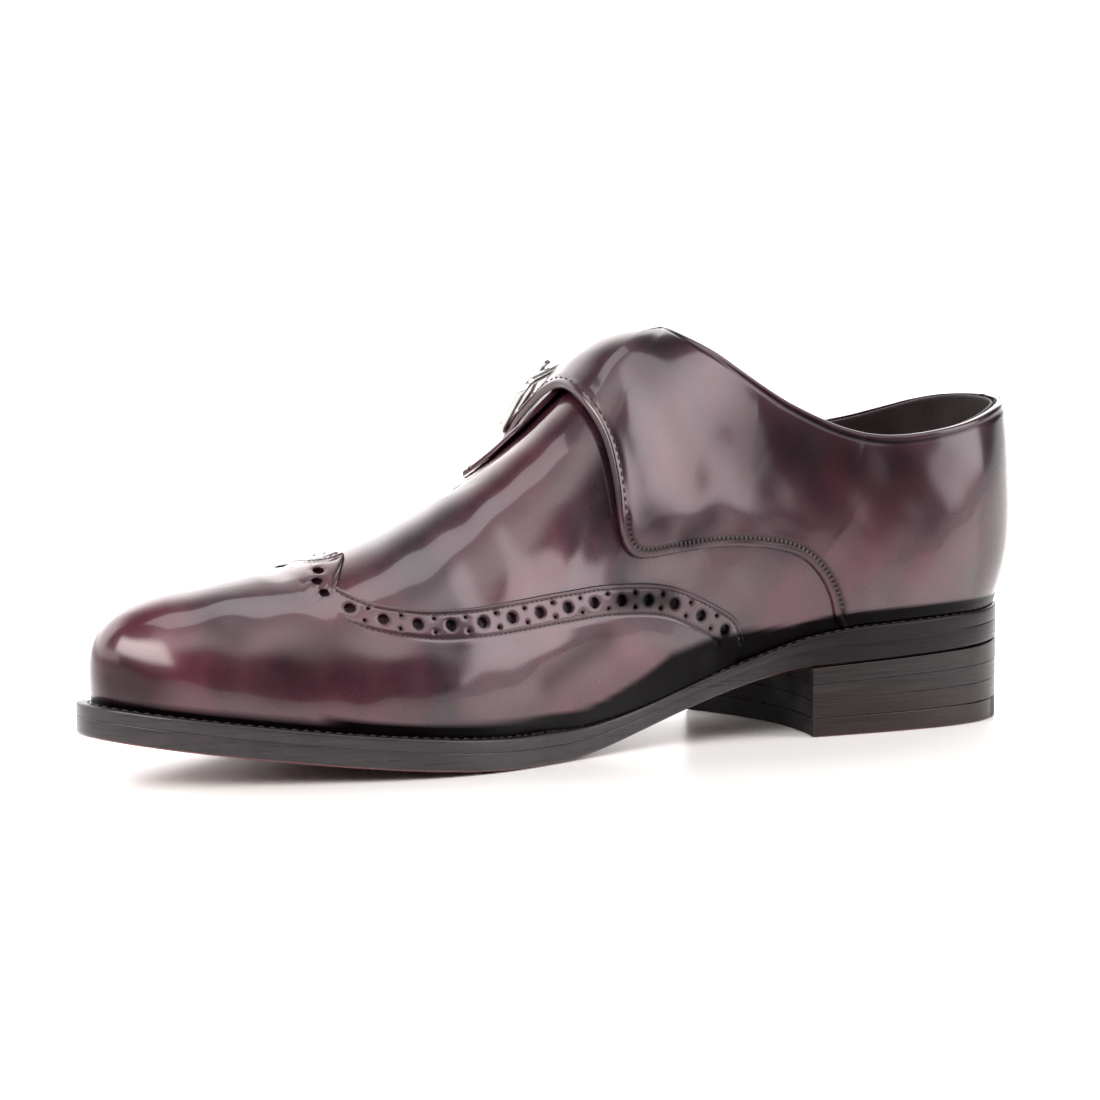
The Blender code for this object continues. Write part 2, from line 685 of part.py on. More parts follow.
def add_bar(name, path, radius, closed, made):
    """A round bar along a path, as a curve with a bevel."""
    curve = bpy.data.curves.new(name, "CURVE")
    curve.dimensions = "3D"
    curve.bevel_depth = radius
    curve.bevel_resolution = 2
    curve.use_fill_caps = not closed
    line = curve.splines.new("POLY")
    line.points.add(len(path) - 1)
    for point, place in zip(line.points, path):
        point.co = (*place, 1.0)
    line.use_cyclic_u = closed
    curve.materials.append(made)
    piece = bpy.data.objects.new(name, curve)
    piece.matrix_world = buckle_frame_of_reference()
    shoe.objects.link(piece)
    return piece


def build_buckle():
    half_x, half_y = BUCKLE_SIZE[0] / 2 - BUCKLE_BAR, BUCKLE_SIZE[1] / 2 - BUCKLE_BAR
    r = BUCKLE_CORNER
    path = []
    for cx, cy, start in ((1, 1, 0), (-1, 1, 1), (-1, -1, 2), (1, -1, 3)):
        for a in (start + np.linspace(0, 1, 6)) * pi / 2:
            path.append((cx * (half_x - r) + r * np.cos(a), cy * (half_y - r) + r * np.sin(a), 0.0))
    add_bar("buckle_frame", path, BUCKLE_BAR, True, silver)
    over = BUCKLE_BAR + GAP + PIN_RADIUS
    pin = [
        (0.0, half_y - 0.0030, over - 0.0022),
        (0.0, half_y - 0.0055, over - 0.0016),
        (0.0, half_y - 0.0110, over - 0.0004),
        (0.0, -half_y + 0.0025, over),
        (0.0, -half_y - 0.0012, over - 0.0001),
    ]
    add_bar("buckle_pin", pin, PIN_RADIUS, False, silver)
    bpy.ops.mesh.primitive_cube_add(size=1.0)
    chape = bpy.context.object
    chape.name = chape.data.name = "buckle_chape"
    low, high = CHAPE_DEPTH
    size = Vector((CHAPE_WIDE, CHAPE_LONG, high - low))
    for vertex in chape.data.vertices:
        vertex.co = vertex.co * size + Vector((0.0, half_y + CHAPE_LONG / 2 - 0.0003, (low + high) / 2))
    bevel = chape.modifiers.new("Edges", "BEVEL")
    bevel.width = 0.0006
    bevel.segments = 2
    chape.data.materials.append(upper_leather)
    chape.matrix_world = buckle_frame_of_reference()
    for holder in list(chape.users_collection):
        holder.objects.unlink(chape)
    shoe.objects.link(chape)


for old in list(bpy.data.objects):
    bpy.data.objects.remove(old, do_unlink=True)
shoe = bpy.data.collections.new("monk_strap_shoe")
bpy.context.scene.collection.children.link(shoe)

upper_leather = material("burgundy leather", (0.060, 0.018, 0.024), 0.30)
edge_leather = material("dark edge leather", (0.030, 0.018, 0.018), 0.40)
sole_leather = material("oxblood sole leather", (0.170, 0.018, 0.020), 0.30)
lining_leather = material("dark lining", (0.030, 0.014, 0.014), 0.60)
rubber = material("grey rubber", (0.055, 0.052, 0.056), 0.65)
silver = material("polished silver", (0.80, 0.80, 0.78), 0.18, 1.0)

build_outsole()
build_welt()
build_heel()
build_insole()
build_upper()
build_wing_cap()
build_quarter("quarter_strap", QUARTER_STRAP, 1, 41, 9)
build_quarter("quarter_lateral", QUARTER_LATERAL, -1, 31, 9)
build_heel_tab()
build_buckle()
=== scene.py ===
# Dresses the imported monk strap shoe: x runs from the heel to the toe, y to the medial side, z up, in metres.

from math import pi, radians

import bpy
import numpy as np
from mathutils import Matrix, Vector


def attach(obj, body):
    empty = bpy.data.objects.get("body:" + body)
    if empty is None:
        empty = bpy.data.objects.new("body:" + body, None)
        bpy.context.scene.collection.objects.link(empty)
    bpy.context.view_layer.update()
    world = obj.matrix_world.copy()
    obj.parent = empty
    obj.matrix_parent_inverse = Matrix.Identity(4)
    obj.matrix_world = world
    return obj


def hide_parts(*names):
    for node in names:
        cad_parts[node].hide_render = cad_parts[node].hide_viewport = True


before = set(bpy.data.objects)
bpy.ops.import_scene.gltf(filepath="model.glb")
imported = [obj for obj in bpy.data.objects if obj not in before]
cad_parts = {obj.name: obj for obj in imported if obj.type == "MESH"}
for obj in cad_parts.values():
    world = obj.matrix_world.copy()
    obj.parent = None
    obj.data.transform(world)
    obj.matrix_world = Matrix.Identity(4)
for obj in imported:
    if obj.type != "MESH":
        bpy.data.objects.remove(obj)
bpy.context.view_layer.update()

# Named sizes, in metres
LENGTH = 0.305
BALL_WIDTH = 0.095
INSTEP_HEIGHT = 0.118
HEEL_HEIGHT = 0.0235
TOE_SPRING = 0.0137
SOLE_FORE, SOLE_WAIST, SOLE_HEEL = 0.0055, 0.0040, 0.0062
WELT_FORE, WELT_WAIST, WELT_HEEL = 0.0036, 0.0025, 0.0041
GAP = 0.0003
UPPER_GAP = 0.0005
BREAST = 0.262
BREAST_HEIGHT = 0.87
ARCH_END, SPRING_START = 0.558, 0.594
HEEL_POLE, TOE_POLE = 0.095, 0.892

# along the foot, medial edge, lateral edge: shares of LENGTH and BALL_WIDTH
OUTLINE = np.array([
    (0.00, 0.000, 0.000),
    (0.03, 0.242, -0.242),
    (0.08, 0.337, -0.342),
    (0.15, 0.363, -0.374),
    (0.25, 0.347, -0.389),
    (0.36, 0.310, -0.405),
    (0.46, 0.321, -0.453),
    (0.56, 0.410, -0.516),
    (0.64, 0.484, -0.516),
    (0.70, 0.495, -0.484),
    (0.76, 0.468, -0.432),
    (0.82, 0.416, -0.368),
    (0.88, 0.358, -0.295),
    (0.94, 0.284, -0.195),
    (0.98, 0.195, -0.095),
    (1.00, 0.053, 0.053),
])

# along, ridge height (share of INSTEP_HEIGHT), side (share of BALL_WIDTH)
RIDGE = np.array([
    (0.095, 1.290, 0.00),
    (0.230, 1.120, 0.00),
    (0.330, 1.018, 0.01),
    (0.385, 0.985, 0.03),
    (0.425, 0.956, 0.04),
    (0.462, 0.902, 0.05),
    (0.500, 0.822, 0.05),
    (0.541, 0.742, 0.05),
    (0.590, 0.670, 0.05),
    (0.640, 0.608, 0.06),
    (0.690, 0.554, 0.06),
    (0.750, 0.502, 0.06),
    (0.820, 0.466, 0.06),
    (0.892, 0.437, 0.05),
])

# along; how far the welt reaches out past the upper, how far the wall swells
# on each side, how high its swell stands and how far the top runs level (mm)
WALL = np.array([
    # along, reach m, reach l, swell m, swell l, rise m, rise l, shoulder m, shoulder l
    (0.00, 2.8, 2.8, 19.0, 19.0, 36.0, 36.0, 20.0, 20.0),
    (0.08, 2.6, 2.8,  9.0,  8.5, 40.0, 40.0, 15.0, 15.0),
    (0.16, 2.5, 2.8,  4.0,  3.5, 42.0, 42.0, 13.0, 13.0),
    (0.26, 2.5, 2.8,  6.0,  4.0, 44.0, 44.0, 13.0, 13.0),
    (0.36, 2.5, 3.0, 11.0,  6.0, 42.0, 42.0, 15.0, 15.0),
    (0.46, 2.6, 3.8, 13.0,  7.0, 38.0, 38.0, 17.0, 17.0),
    (0.56, 4.0, 4.8,  9.0,  6.0, 32.0, 31.0, 19.0, 20.0),
    (0.64, 5.0, 5.0,  5.5,  5.0, 27.0, 27.0, 19.0, 22.0),
    (0.72, 5.2, 5.2,  4.0,  4.0, 24.0, 24.0, 18.0, 20.0),
    (0.80, 5.4, 5.4,  3.2,  3.2, 22.0, 22.0, 17.0, 18.0),
    (0.88, 5.8, 5.8,  3.0,  3.0, 20.0, 20.0, 16.0, 16.0),
    (0.94, 6.0, 6.0,  3.4,  3.4, 19.5, 19.5, 18.0, 18.0),
    (1.00, 6.5, 6.5,  4.0,  4.0, 18.5, 18.5, 25.0, 25.0),
])

# along (of the point itself), height of the top edge on each side (shares of LENGTH, INSTEP_HEIGHT)
TOPLINE = np.array([
    (-0.030, 0.800, 0.800),
    (0.010, 0.790, 0.790),
    (0.060, 0.762, 0.755),
    (0.120, 0.738, 0.728),
    (0.170, 0.735, 0.722),
    (0.215, 0.760, 0.742),
    (0.255, 0.806, 0.785),
    (0.290, 0.862, 0.845),
    (0.330, 0.945, 0.935),
    (0.370, 0.997, 0.997),
    (0.400, 1.020, 1.020),
])


def natural(rows, column):
    """A smooth curve through one column of a table, over its first column."""
    x, y = rows[:, 0], rows[:, column]
    n, h = len(x), np.diff(x)
    system, right = np.eye(n), np.zeros(n)
    for i in range(1, n - 1):
        system[i, i - 1:i + 2] = h[i - 1], 2 * (h[i - 1] + h[i]), h[i]
        right[i] = 6 * ((y[i + 1] - y[i]) / h[i] - (y[i] - y[i - 1]) / h[i - 1])
    bend = np.linalg.solve(system, right)

    def curve(q):
        q = np.clip(q, x[0], x[-1])
        i = np.clip(np.searchsorted(x, q, side="right") - 1, 0, n - 2)
        a, b = q - x[i], x[i + 1] - q
        return ((bend[i] * b**3 + bend[i + 1] * a**3) / (6 * h[i])
                + (y[i] / h[i] - bend[i] * h[i] / 6) * b + (y[i + 1] / h[i] - bend[i + 1] * h[i] / 6) * a)
    return curve


def around(rows, medial, lateral):
    """A smooth closed curve over the angle round the foot, from a medial and a lateral column."""
    angle = np.arccos(1 - 2 * rows[:, 0])
    s = np.concatenate([angle, 2 * pi - angle[-2:0:-1]])
    y = np.concatenate([rows[:, lateral], rows[-2:0:-1, medial]])
    n = len(s)
    h = np.diff(np.append(s, 2 * pi))
    system, right = np.zeros((n, n)), np.zeros(n)
    for i in range(n):
        j = (i + 1) % n
        system[i, i - 1] += h[i - 1]
        system[i, i] += 2 * (h[i - 1] + h[i])
        system[i, j] += h[i]
        right[i] = 6 * ((y[j] - y[i]) / h[i] - (y[i] - y[i - 1]) / h[i - 1])
    bend = np.linalg.solve(system, right)

    def curve(q):
        q = np.mod(q, 2 * pi)
        i = np.clip(np.searchsorted(s, q, side="right") - 1, 0, n - 1)
        j = (i + 1) % n
        a, b = q - s[i], s[i] + h[i] - q
        return ((bend[i] * b**3 + bend[j] * a**3) / (6 * h[i])
                + (y[i] / h[i] - bend[i] * h[i] / 6) * b + (y[j] / h[i] - bend[j] * h[i] / 6) * a)
    return curve


edge_side = around(OUTLINE, 1, 2)
ridge_height, ridge_side = natural(RIDGE, 1), natural(RIDGE, 2)
reach, swell, rise, shoulder = (around(WALL, k, k + 1) for k in (1, 3, 5, 7))
topline_medial, topline_lateral = natural(TOPLINE, 1), natural(TOPLINE, 2)


def angle_of(along, side):
    """The angle round the foot of a station: side +1 is medial, -1 lateral."""
    s = np.arccos(np.clip(1 - 2 * np.asarray(along, float), -1, 1))
    return np.where(np.asarray(side) > 0, 2 * pi - s, s)


def outline(s, inset=0.0):
    """Points of the sole's edge seen from above, moved inwards by inset."""
    s = np.asarray(s, float)
    d = 1e-4
    x = LENGTH * (1 - np.cos(s)) / 2
    y = BALL_WIDTH * edge_side(s)
    dx = LENGTH * np.sin(s) / 2
    dy = BALL_WIDTH * (edge_side(s + d) - edge_side(s - d)) / (2 * d)
    size = np.hypot(dx, dy)
    return x - inset * dy / size, y + inset * dx / size


def sole_bottom(x):
    """Height of the outsole's underside: seat, arch, tread, toe spring."""
    u = np.asarray(x, float) / LENGTH
    top, breast = HEEL_HEIGHT, HEEL_HEIGHT * BREAST_HEIGHT
    slope = (breast - top) / BREAST
    span = ARCH_END - BREAST
    t = np.clip((u - BREAST) / span, 0, 1)
    arch = breast * (1 - 3 * t**2 + 2 * t**3) + 2.0 * slope * span * (t - 2 * t**2 + t**3)
    toe = TOE_SPRING * np.clip((u - SPRING_START) / (1 - SPRING_START), 0, None)**1.5
    return np.where(u < BREAST, top + slope * u, arch + toe)


def ease(u, a, b):
    t = np.clip((u - a) / (b - a), 0, 1)
    return t * t * (3 - 2 * t)


def layer(x, fore, waist, heel):
    """Thickness along the foot of a layer that is thinner at the waist."""
    u = np.asarray(x, float) / LENGTH
    return waist + (fore - waist) * ease(u, 0.42, 0.58) + (heel - waist) * ease(-u, -0.34, -0.20)


def outsole_top(x):
    return sole_bottom(x) + layer(x, SOLE_FORE, SOLE_WAIST, SOLE_HEEL)


def welt_bottom(x):
    return outsole_top(x) + GAP


def welt_top(x):
    return welt_bottom(x) + layer(x, WELT_FORE, WELT_WAIST, WELT_HEEL)


def ridge_slope(share):
    """How steeply the ridge climbs at a share of the length."""
    d = 1e-3
    share = np.clip(share, HEEL_POLE + d, TOE_POLE - d)
    return INSTEP_HEIGHT * (ridge_height(share + d) - ridge_height(share - d)) / (LENGTH * 2 * d)


def surface(s, t):
    """Outer face of the upper: s turns round the foot, t climbs from the welt (0) to the ridge (1) and over it (2)."""
    s, t = np.broadcast_arrays(np.asarray(s, float), np.asarray(t, float))
    over = t > 1
    s = np.mod(np.where(over, 2 * pi - s, s), 2 * pi)
    t = np.where(over, 2 - t, t)
    along = (1 - np.cos(s)) / 2
    foot_x, foot_y = outline(s, reach(s) / 1000)
    foot_z = welt_top(foot_x) + UPPER_GAP
    out_x, out_y = outline(s, (reach(s) - swell(s)) / 1000)
    rx = HEEL_POLE + (TOE_POLE - HEEL_POLE) * along
    slope = ridge_slope(rx)
    top = np.stack([LENGTH * rx, BALL_WIDTH * ridge_side(rx), INSTEP_HEIGHT * ridge_height(rx)], -1)
    dx, dy = foot_x - top[..., 0], foot_y - top[..., 1]
    size = np.hypot(dx, dy)
    run = shoulder(s) / 1000
    level = top + np.stack([run * dx / size, run * dy / size, slope * run * dx / size], -1)
    foot = np.stack([foot_x, foot_y, foot_z], -1)
    out = np.stack([out_x, out_y, foot_z + rise(s) / 1000], -1)
    t = t[..., None]
    return (1 - t)**3 * foot + 3 * (1 - t)**2 * t * out + 3 * (1 - t) * t**2 * level + t**3 * top


def outward(s, t):
    """Unit normals of the upper's outer face."""
    s, t = np.broadcast_arrays(np.asarray(s, float), np.asarray(t, float))
    slope = ridge_slope(HEEL_POLE + (TOE_POLE - HEEL_POLE) * (1 - np.cos(s)) / 2)
    level = np.stack([-slope, 0 * slope, 1 + 0 * slope], -1)
    near = np.where(np.abs(t - 1) < 0.01, np.where(t > 1, 1.01, 0.99), t)
    d = 1e-3
    around_foot = surface(s + d, near) - surface(s - d, near)
    climbing = surface(s, near + d) - surface(s, near - d)
    n = np.where((np.abs(t - 1) < 0.002)[..., None], level, np.cross(around_foot, climbing))
    return n / np.linalg.norm(n, axis=-1, keepdims=True)


def top_edge(s):
    """Share t at which the upper ends at the topline."""
    s = np.mod(np.asarray(s, float), 2 * pi)
    medial = s > pi
    low, high = np.full(s.shape, 0.12), np.ones(s.shape)
    for _ in range(40):
        mid = (low + high) / 2
        p = surface(s, mid)
        u = p[..., 0] / LENGTH
        edge = INSTEP_HEIGHT * np.where(medial, topline_medial(u), topline_lateral(u))
        above = p[..., 2] > edge
        high, low = np.where(above, mid, high), np.where(above, low, mid)
    return np.where(high > 0.9999, 1.0, high)


# Sizes of the dressed pieces, in metres
# The shoe's middle, counted from the back of the heel
CENTRE = (0.14910, -0.00128)
SKIN = 0.0010
LINING_OUT, LINING_IN = -0.0011, -0.0020
WING_THICK, WING_LIFT, WING_SWELL = 0.00125, 0.00015, 0.00055
BAND = 0.0086
HOLE_ROW, HOLE_PITCH, HOLE_RADIUS = 0.0047, 0.0099, 0.00165
SMALL_RADIUS, SMALL_APART = 0.00058, 0.00205
WING_STITCH = (0.0014, 0.0086)
QUARTER_THICK, QUARTER_ROLL = 0.00135, 0.0011
QUARTER_STITCH = COLLAR_STITCH = 0.0024
THREAD = 0.00026
INSOLE_THICK = 0.0028
BREAST_HOLLOW = 0.0065
HEEL_STEPS = (0.0, 0.27, 0.52, 0.76, 1.0)
RUBBER_LINE = ((0.165, -0.45), (0.030, 0.30))
CHANNEL_IN, CHANNEL_DEEP, CHANNEL_WIDE = 0.0050, 0.00075, 0.0011
NAIL_RING, NAIL_RADIUS, NAIL_RISE = 0.0026, 0.00085, 0.00014
WELT_PITCH, SOLE_PITCH = 0.0032, 0.0034
RING_WIDE, RING_TALL, RING_CORNER = 0.0027, 0.0022, 0.0034
PIN_WIDE, PIN_TALL = 0.0021, 0.0015
KEEPER_HALF, KEEPER_THICK, LOOP_RADIUS = 0.0092, 0.0016, 0.0023
# How far up the last the pieces start: a share, 0 at the welt and 1 at the ridge
FOOT = 0.004
# Where the sole's channel starts, as a share of the length
CHANNEL_START = 0.25

# Soft troughs (-) and ridges (+) of the leather: side, then along and up of both ends, half width and depth in mm
FOLDS = np.array([
    # side, along, up, along, up, half width, depth
    (1, 0.395, 0.150, 0.530, 0.440, 9.0, -0.9),
    (1, 0.520, 0.330, 0.545, 0.620, 8.0, -0.15),
    (1, 0.570, 0.480, 0.600, 0.980, 9.0, -0.35),
    (1, 0.540, 0.560, 0.570, 0.990, 7.0, 0.25),
    (1, 0.640, 0.500, 0.665, 0.980, 8.0, -0.25),
    (1, 0.605, 0.450, 0.635, 0.950, 7.0, 0.35),
    (1, 0.455, 0.300, 0.420, 0.600, 7.0, 0.5),
    (-1, 0.560, 0.420, 0.590, 0.980, 9.0, -0.5),
    (-1, 0.520, 0.380, 0.555, 0.900, 8.0, 0.3),
    (-1, 0.625, 0.420, 0.655, 0.980, 8.0, -0.35),
    (1, 0.300, 0.420, 0.230, 0.200, 12.0, -0.5),
    (1, 0.250, 0.560, 0.170, 0.420, 10.0, 0.4),
    (1, 0.370, 0.620, 0.300, 0.500, 8.0, 0.4),
    (-1, 0.320, 0.560, 0.220, 0.350, 11.0, -0.4),
    (-1, 0.400, 0.260, 0.470, 0.360, 9.0, -0.5),
])

# Half the back seam, as an angle round the foot
SEAM = 0.0006
# How far the strap arches off the vamp
STRAP_ARCH = 0.0016
# How high the painted shade at the upper's foot climbs, by place along the shoe
DARK_FOOT = np.array([(0.0, 0.030), (0.28, 0.034), (0.36, 0.085), (0.42, 0.105), (0.46, 0.082),
                      (0.52, 0.054), (0.60, 0.050), (1.0, 0.050)])
# Stitches lie across the quarter's edge up to here, and along it above
BARS_TOP = 0.47
# Steps round the heel's outline
OUTLINE_STEPS = 120
# Dark reflections of the room and shade, painted on the leather: side, from and to (along, up), width in mm, strength
DARK_REFLECTIONS = np.array([
    (1, 0.482, 0.285, 0.425, 0.225, 3.6, 0.75),
    (1, 0.443, 0.425, 0.432, 0.400, 5.0, 0.60),
    (1, 0.400, 0.335, 0.370, 0.350, 4.0, 0.50),
    (1, 0.275, 0.440, 0.160, 0.320, 17.0, 0.72),
    (1, 0.573, 0.150, 0.504, 0.215, 4.5, 0.45),
    (1, 0.806, 0.330, 0.840, 0.265, 7.0, 0.45),
    (1, 0.916, 0.470, 0.900, 0.430, 5.0, 0.35),
    (-1, 0.300, 0.400, 0.180, 0.320, 14.0, 0.50),
    (-1, 0.560, 0.210, 0.500, 0.260, 5.0, 0.45),
    (-1, 0.820, 0.300, 0.770, 0.380, 8.0, 0.40),
    (-1, 0.440, 0.450, 0.420, 0.380, 6.0, 0.45),
    (1, 0.97, 0.12, 0.99, 0.14, 9.0, 0.60),
    (1, 0.405, 0.800, 0.350, 0.900, 9.0, 0.40),
])
# Rungs along each side of the wing's edge
WING_EDGE_ROWS = 300
# The peak's middle hole (along, up), and how far along the row the next ones lie
PEAK_HOLE, HOLE_FLANK = (0.828, 0.760), 0.0049
# Where the wing's two sides meet over the toe: along, up
WING_SEAM = np.array([(0.792, 0.888), (0.812, 0.868), (0.832, 0.873), (0.862, 0.925), (0.902, 0.985), (1.0, 1.0)])
BUCKLE_SPOT = (0.457, 1.290)
BUCKLE_CLEAR = 0.0012
BUCKLE_SIZE = (0.0265, 0.0225)
NAIL_GROUPS = ((0.235, -0.285), (0.190, -0.300), (0.225, 0.270), (0.165, 0.280), (0.105, 0.262))

# Wing cap's edge: along the welt, along and up at the edge (up: 0 welt, 1 ridge)
WING_MEDIAL = np.array([
    (0.345, 0.336, 0.050),
    (0.370, 0.345, 0.105),
    (0.400, 0.373, 0.166),
    (0.430, 0.403, 0.222),
    (0.465, 0.437, 0.271),
    (0.505, 0.484, 0.323),
    (0.545, 0.526, 0.361),
    (0.600, 0.590, 0.397),
    (0.650, 0.643, 0.420),
    (0.695, 0.695, 0.448),
    (0.727, 0.727, 0.480),
    (0.757, 0.758, 0.528),
    (0.783, 0.786, 0.603),
    (0.806, 0.804, 0.696),
    (0.818, 0.798, 0.790),
    (0.830, 0.792, 0.888),
])
WING_LATERAL = np.array([
    (0.395, 0.385, 0.050),
    (0.415, 0.398, 0.110),
    (0.440, 0.420, 0.165),
    (0.465, 0.447, 0.215),
    (0.495, 0.480, 0.262),
    (0.530, 0.515, 0.305),
    (0.570, 0.557, 0.343),
    (0.615, 0.605, 0.378),
    (0.655, 0.650, 0.410),
    (0.695, 0.695, 0.448),
    (0.727, 0.727, 0.480),
    (0.757, 0.758, 0.528),
    (0.783, 0.795, 0.600),
    (0.806, 0.818, 0.690),
    (0.835, 0.835, 0.790),
    (0.870, 0.845, 0.885),
    (0.900, 0.849, 0.960),
    (0.925, 0.847, 1.015),
    (0.942, 0.836, 1.062),
    (0.954, 0.815, 1.106),
    (0.965, 0.792, 1.112),
])

# Medial quarter and strap: along and up of the front edge, along and up of the top edge
# (up over 1 is past the ridge), lift of each edge off the vamp and thickness in mm
QUARTER_STRAP = np.array([
    (0.000, 0.000, 0.000, 1.00, 0.8, 1.0, 1.2),
    (0.050, 0.000, 0.045, 1.00, 0.8, 1.0, 1.2),
    (0.120, 0.000, 0.095, 1.00, 0.8, 1.0, 1.2),
    (0.185, 0.000, 0.135, 1.00, 0.8, 1.0, 1.2),
    (0.228, 0.000, 0.165, 1.00, 0.8, 1.0, 1.2),
    (0.239, 0.058, 0.183, 1.00, 0.8, 1.0, 1.2),
    (0.252, 0.127, 0.203, 1.00, 0.8, 1.0, 1.2),
    (0.276, 0.185, 0.226, 1.00, 0.8, 1.0, 1.2),
    (0.311, 0.230, 0.250, 1.00, 0.8, 1.0, 1.2),
    (0.349, 0.266, 0.274, 1.00, 0.8, 1.0, 1.2),
    (0.398, 0.302, 0.296, 1.00, 0.8, 1.0, 1.2),
    (0.442, 0.334, 0.311, 1.00, 1.0, 1.0, 1.3),
    (0.468, 0.372, 0.321, 1.00, 1.3, 1.0, 1.4),
    (0.479, 0.440, 0.329, 1.00, 2.0, 1.0, 1.6),
    (0.479, 0.520, 0.335, 1.00, 2.8, 1.0, 1.8),
    (0.478, 0.610, 0.340, 1.00, 3.4, 1.0, 2.0),
    (0.479, 0.700, 0.343, 1.00, 4.0, 1.1, 2.1),
    (0.483, 0.800, 0.345, 1.00, 4.6, 1.2, 2.2),
    (0.486, 0.900, 0.350, 0.97, 4.3, 1.3, 2.3),
    (0.489, 1.000, 0.360, 1.03, 3.9, 1.8, 2.4),
    (0.493, 1.090, 0.373, 1.10, 3.8, 2.6, 2.4),
    (0.497, 1.170, 0.390, 1.18, 4.0, 3.4, 2.4),
    (0.500, 1.250, 0.404, 1.27, 4.4, 4.4, 2.4),
    (0.500, 1.330, 0.410, 1.35, 4.8, 4.8, 2.4),
    (0.500, 1.410, 0.411, 1.43, 6.0, 6.0, 2.4),
    (0.494, 1.470, 0.416, 1.49, 6.2, 6.2, 2.3),
    (0.478, 1.510, 0.432, 1.52, 5.6, 5.6, 2.2),
    (0.462, 1.522, 0.448, 1.525, 5.2, 5.2, 2.1),
])

# Lateral quarter, with the same columns
QUARTER_LATERAL = np.array([
    (0.000, 0.000, 0.000, 1.00, 0.6, 0.6, 1.2),
    (0.050, 0.000, 0.045, 1.00, 0.6, 0.6, 1.2),
    (0.120, 0.000, 0.100, 1.00, 0.6, 0.6, 1.2),
    (0.190, 0.000, 0.150, 1.00, 0.6, 0.6, 1.2),
    (0.245, 0.000, 0.190, 1.00, 0.6, 0.6, 1.2),
    (0.275, 0.020, 0.212, 1.00, 0.6, 0.6, 1.2),
    (0.293, 0.085, 0.228, 1.00, 0.6, 0.6, 1.2),
    (0.315, 0.165, 0.245, 1.00, 0.6, 0.6, 1.2),
    (0.343, 0.255, 0.262, 1.00, 0.6, 0.7, 1.2),
    (0.377, 0.345, 0.282, 1.00, 0.6, 0.8, 1.2),
    (0.415, 0.425, 0.302, 1.00, 0.7, 0.9, 1.2),
    (0.458, 0.505, 0.318, 1.00, 0.8, 1.0, 1.2),
    (0.505, 0.600, 0.332, 0.99, 0.9, 1.0, 1.2),
    (0.548, 0.705, 0.346, 0.96, 1.0, 1.1, 1.2),
    (0.580, 0.800, 0.380, 0.95, 1.1, 1.4, 1.2),
    (0.600, 0.870, 0.440, 0.95, 1.1, 2.2, 1.2),
    (0.612, 0.920, 0.530, 0.95, 1.1, 2.3, 1.2),
])


def smooth_rows(rows, count, side):
    """Rows of a table followed by smooth curves, count of them, evenly apart on the foot."""
    at = np.arange(len(rows), dtype=float)
    numbered = np.column_stack([at, rows])
    fine = np.linspace(0, len(rows) - 1, 400)
    along = np.clip(natural(numbered, 1)(fine), 0, 1)
    up = natural(numbered, 2 if rows.shape[1] > 3 else 3)(fine)
    place = surface(angle_of(along, side), up)
    gone = np.append(0, np.cumsum(np.linalg.norm(np.diff(place, axis=0), axis=1)))
    q = np.interp(np.linspace(0, gone[-1], count), gone, fine)
    return np.stack([natural(numbered, k + 1)(q) for k in range(rows.shape[1])], -1)


def strokes(place, rows):
    """For each row of FOLDS or DARK_REFLECTIONS, at points: the share of the way along it, its fall-off and its
    strength.
    """
    for side, a1, u1, a2, u2, wide, deep in rows:
        ends = surface(angle_of(np.array([a1, a2]), side), np.array([u1, u2]))
        run = ends[1] - ends[0]
        t = np.clip((place - ends[0]) @ run / (run @ run), 0, 1)
        gap = np.linalg.norm(place - ends[0] - t[..., None] * run, axis=-1)
        yield t, np.exp(-(gap / (wide / 1000))**2), deep


def relief(place):
    """How far the leather's folds and slight unevenness stand off the last, at points on it."""
    high = np.zeros(place.shape[:-1])
    for t, near, deep in strokes(place, FOLDS):
        high += deep * np.sin(np.clip(0.12 + 0.88 * t, 0, 1) * pi)**0.6 * near
    for k, (fx, fy, fz, amount) in enumerate(((61, 83, 97, 0.10), (129, -94, 88, 0.07), (-173, 211, 160, 0.04))):
        high += amount * np.sin(place[..., 0] * fx * 2 + place[..., 1] * fy * 2 + place[..., 2] * fz * 2 + 2.1 * k)
    return high / 1000


def painted_dark_reflection(place):
    """How dark the painted dark reflections and shade are, at points on the last."""
    dark = np.zeros(place.shape[:-1])
    for _, near, deep in strokes(place, DARK_REFLECTIONS):
        dark = np.maximum(dark, deep * near)
    return dark


def on_last(s, t, height=0.0):
    """Points at a height over the last's surface, with the leather's folds."""
    place = surface(s, t)
    return place + (relief(place) + height)[..., None] * outward(s, t)


def welded(points, faces, marks):
    """Points that coincide made one, and the faces that collapse dropped."""
    keys = np.round(points * 1e7).astype(np.int64)
    _, first, index = np.unique(keys, axis=0, return_index=True, return_inverse=True)
    index = index.reshape(-1)
    out, kept = [], []
    for number, face in enumerate(faces):
        loop = [index[v] for v in face]
        loop = [v for k, v in enumerate(loop) if v != loop[k - 1]]
        if len(loop) > 2 and len(set(loop)) == len(loop):
            out.append([int(v) for v in loop])
            kept.append(number)
    return points[first], out, {name: np.asarray(mark)[first] for name, mark in marks.items()}, kept


def facing_out(points, faces):
    """The faces of a closed body, turned round if they face inwards."""
    loops = [(f[0], f[k], f[k + 1]) for f in faces for k in range(1, len(f) - 1)]
    a, b, c = (points[np.array([loop[k] for loop in loops])] for k in range(3))
    if (np.cross(a, b) * c).sum() < 0:
        return [list(f)[::-1] for f in faces]
    return [list(f) for f in faces]


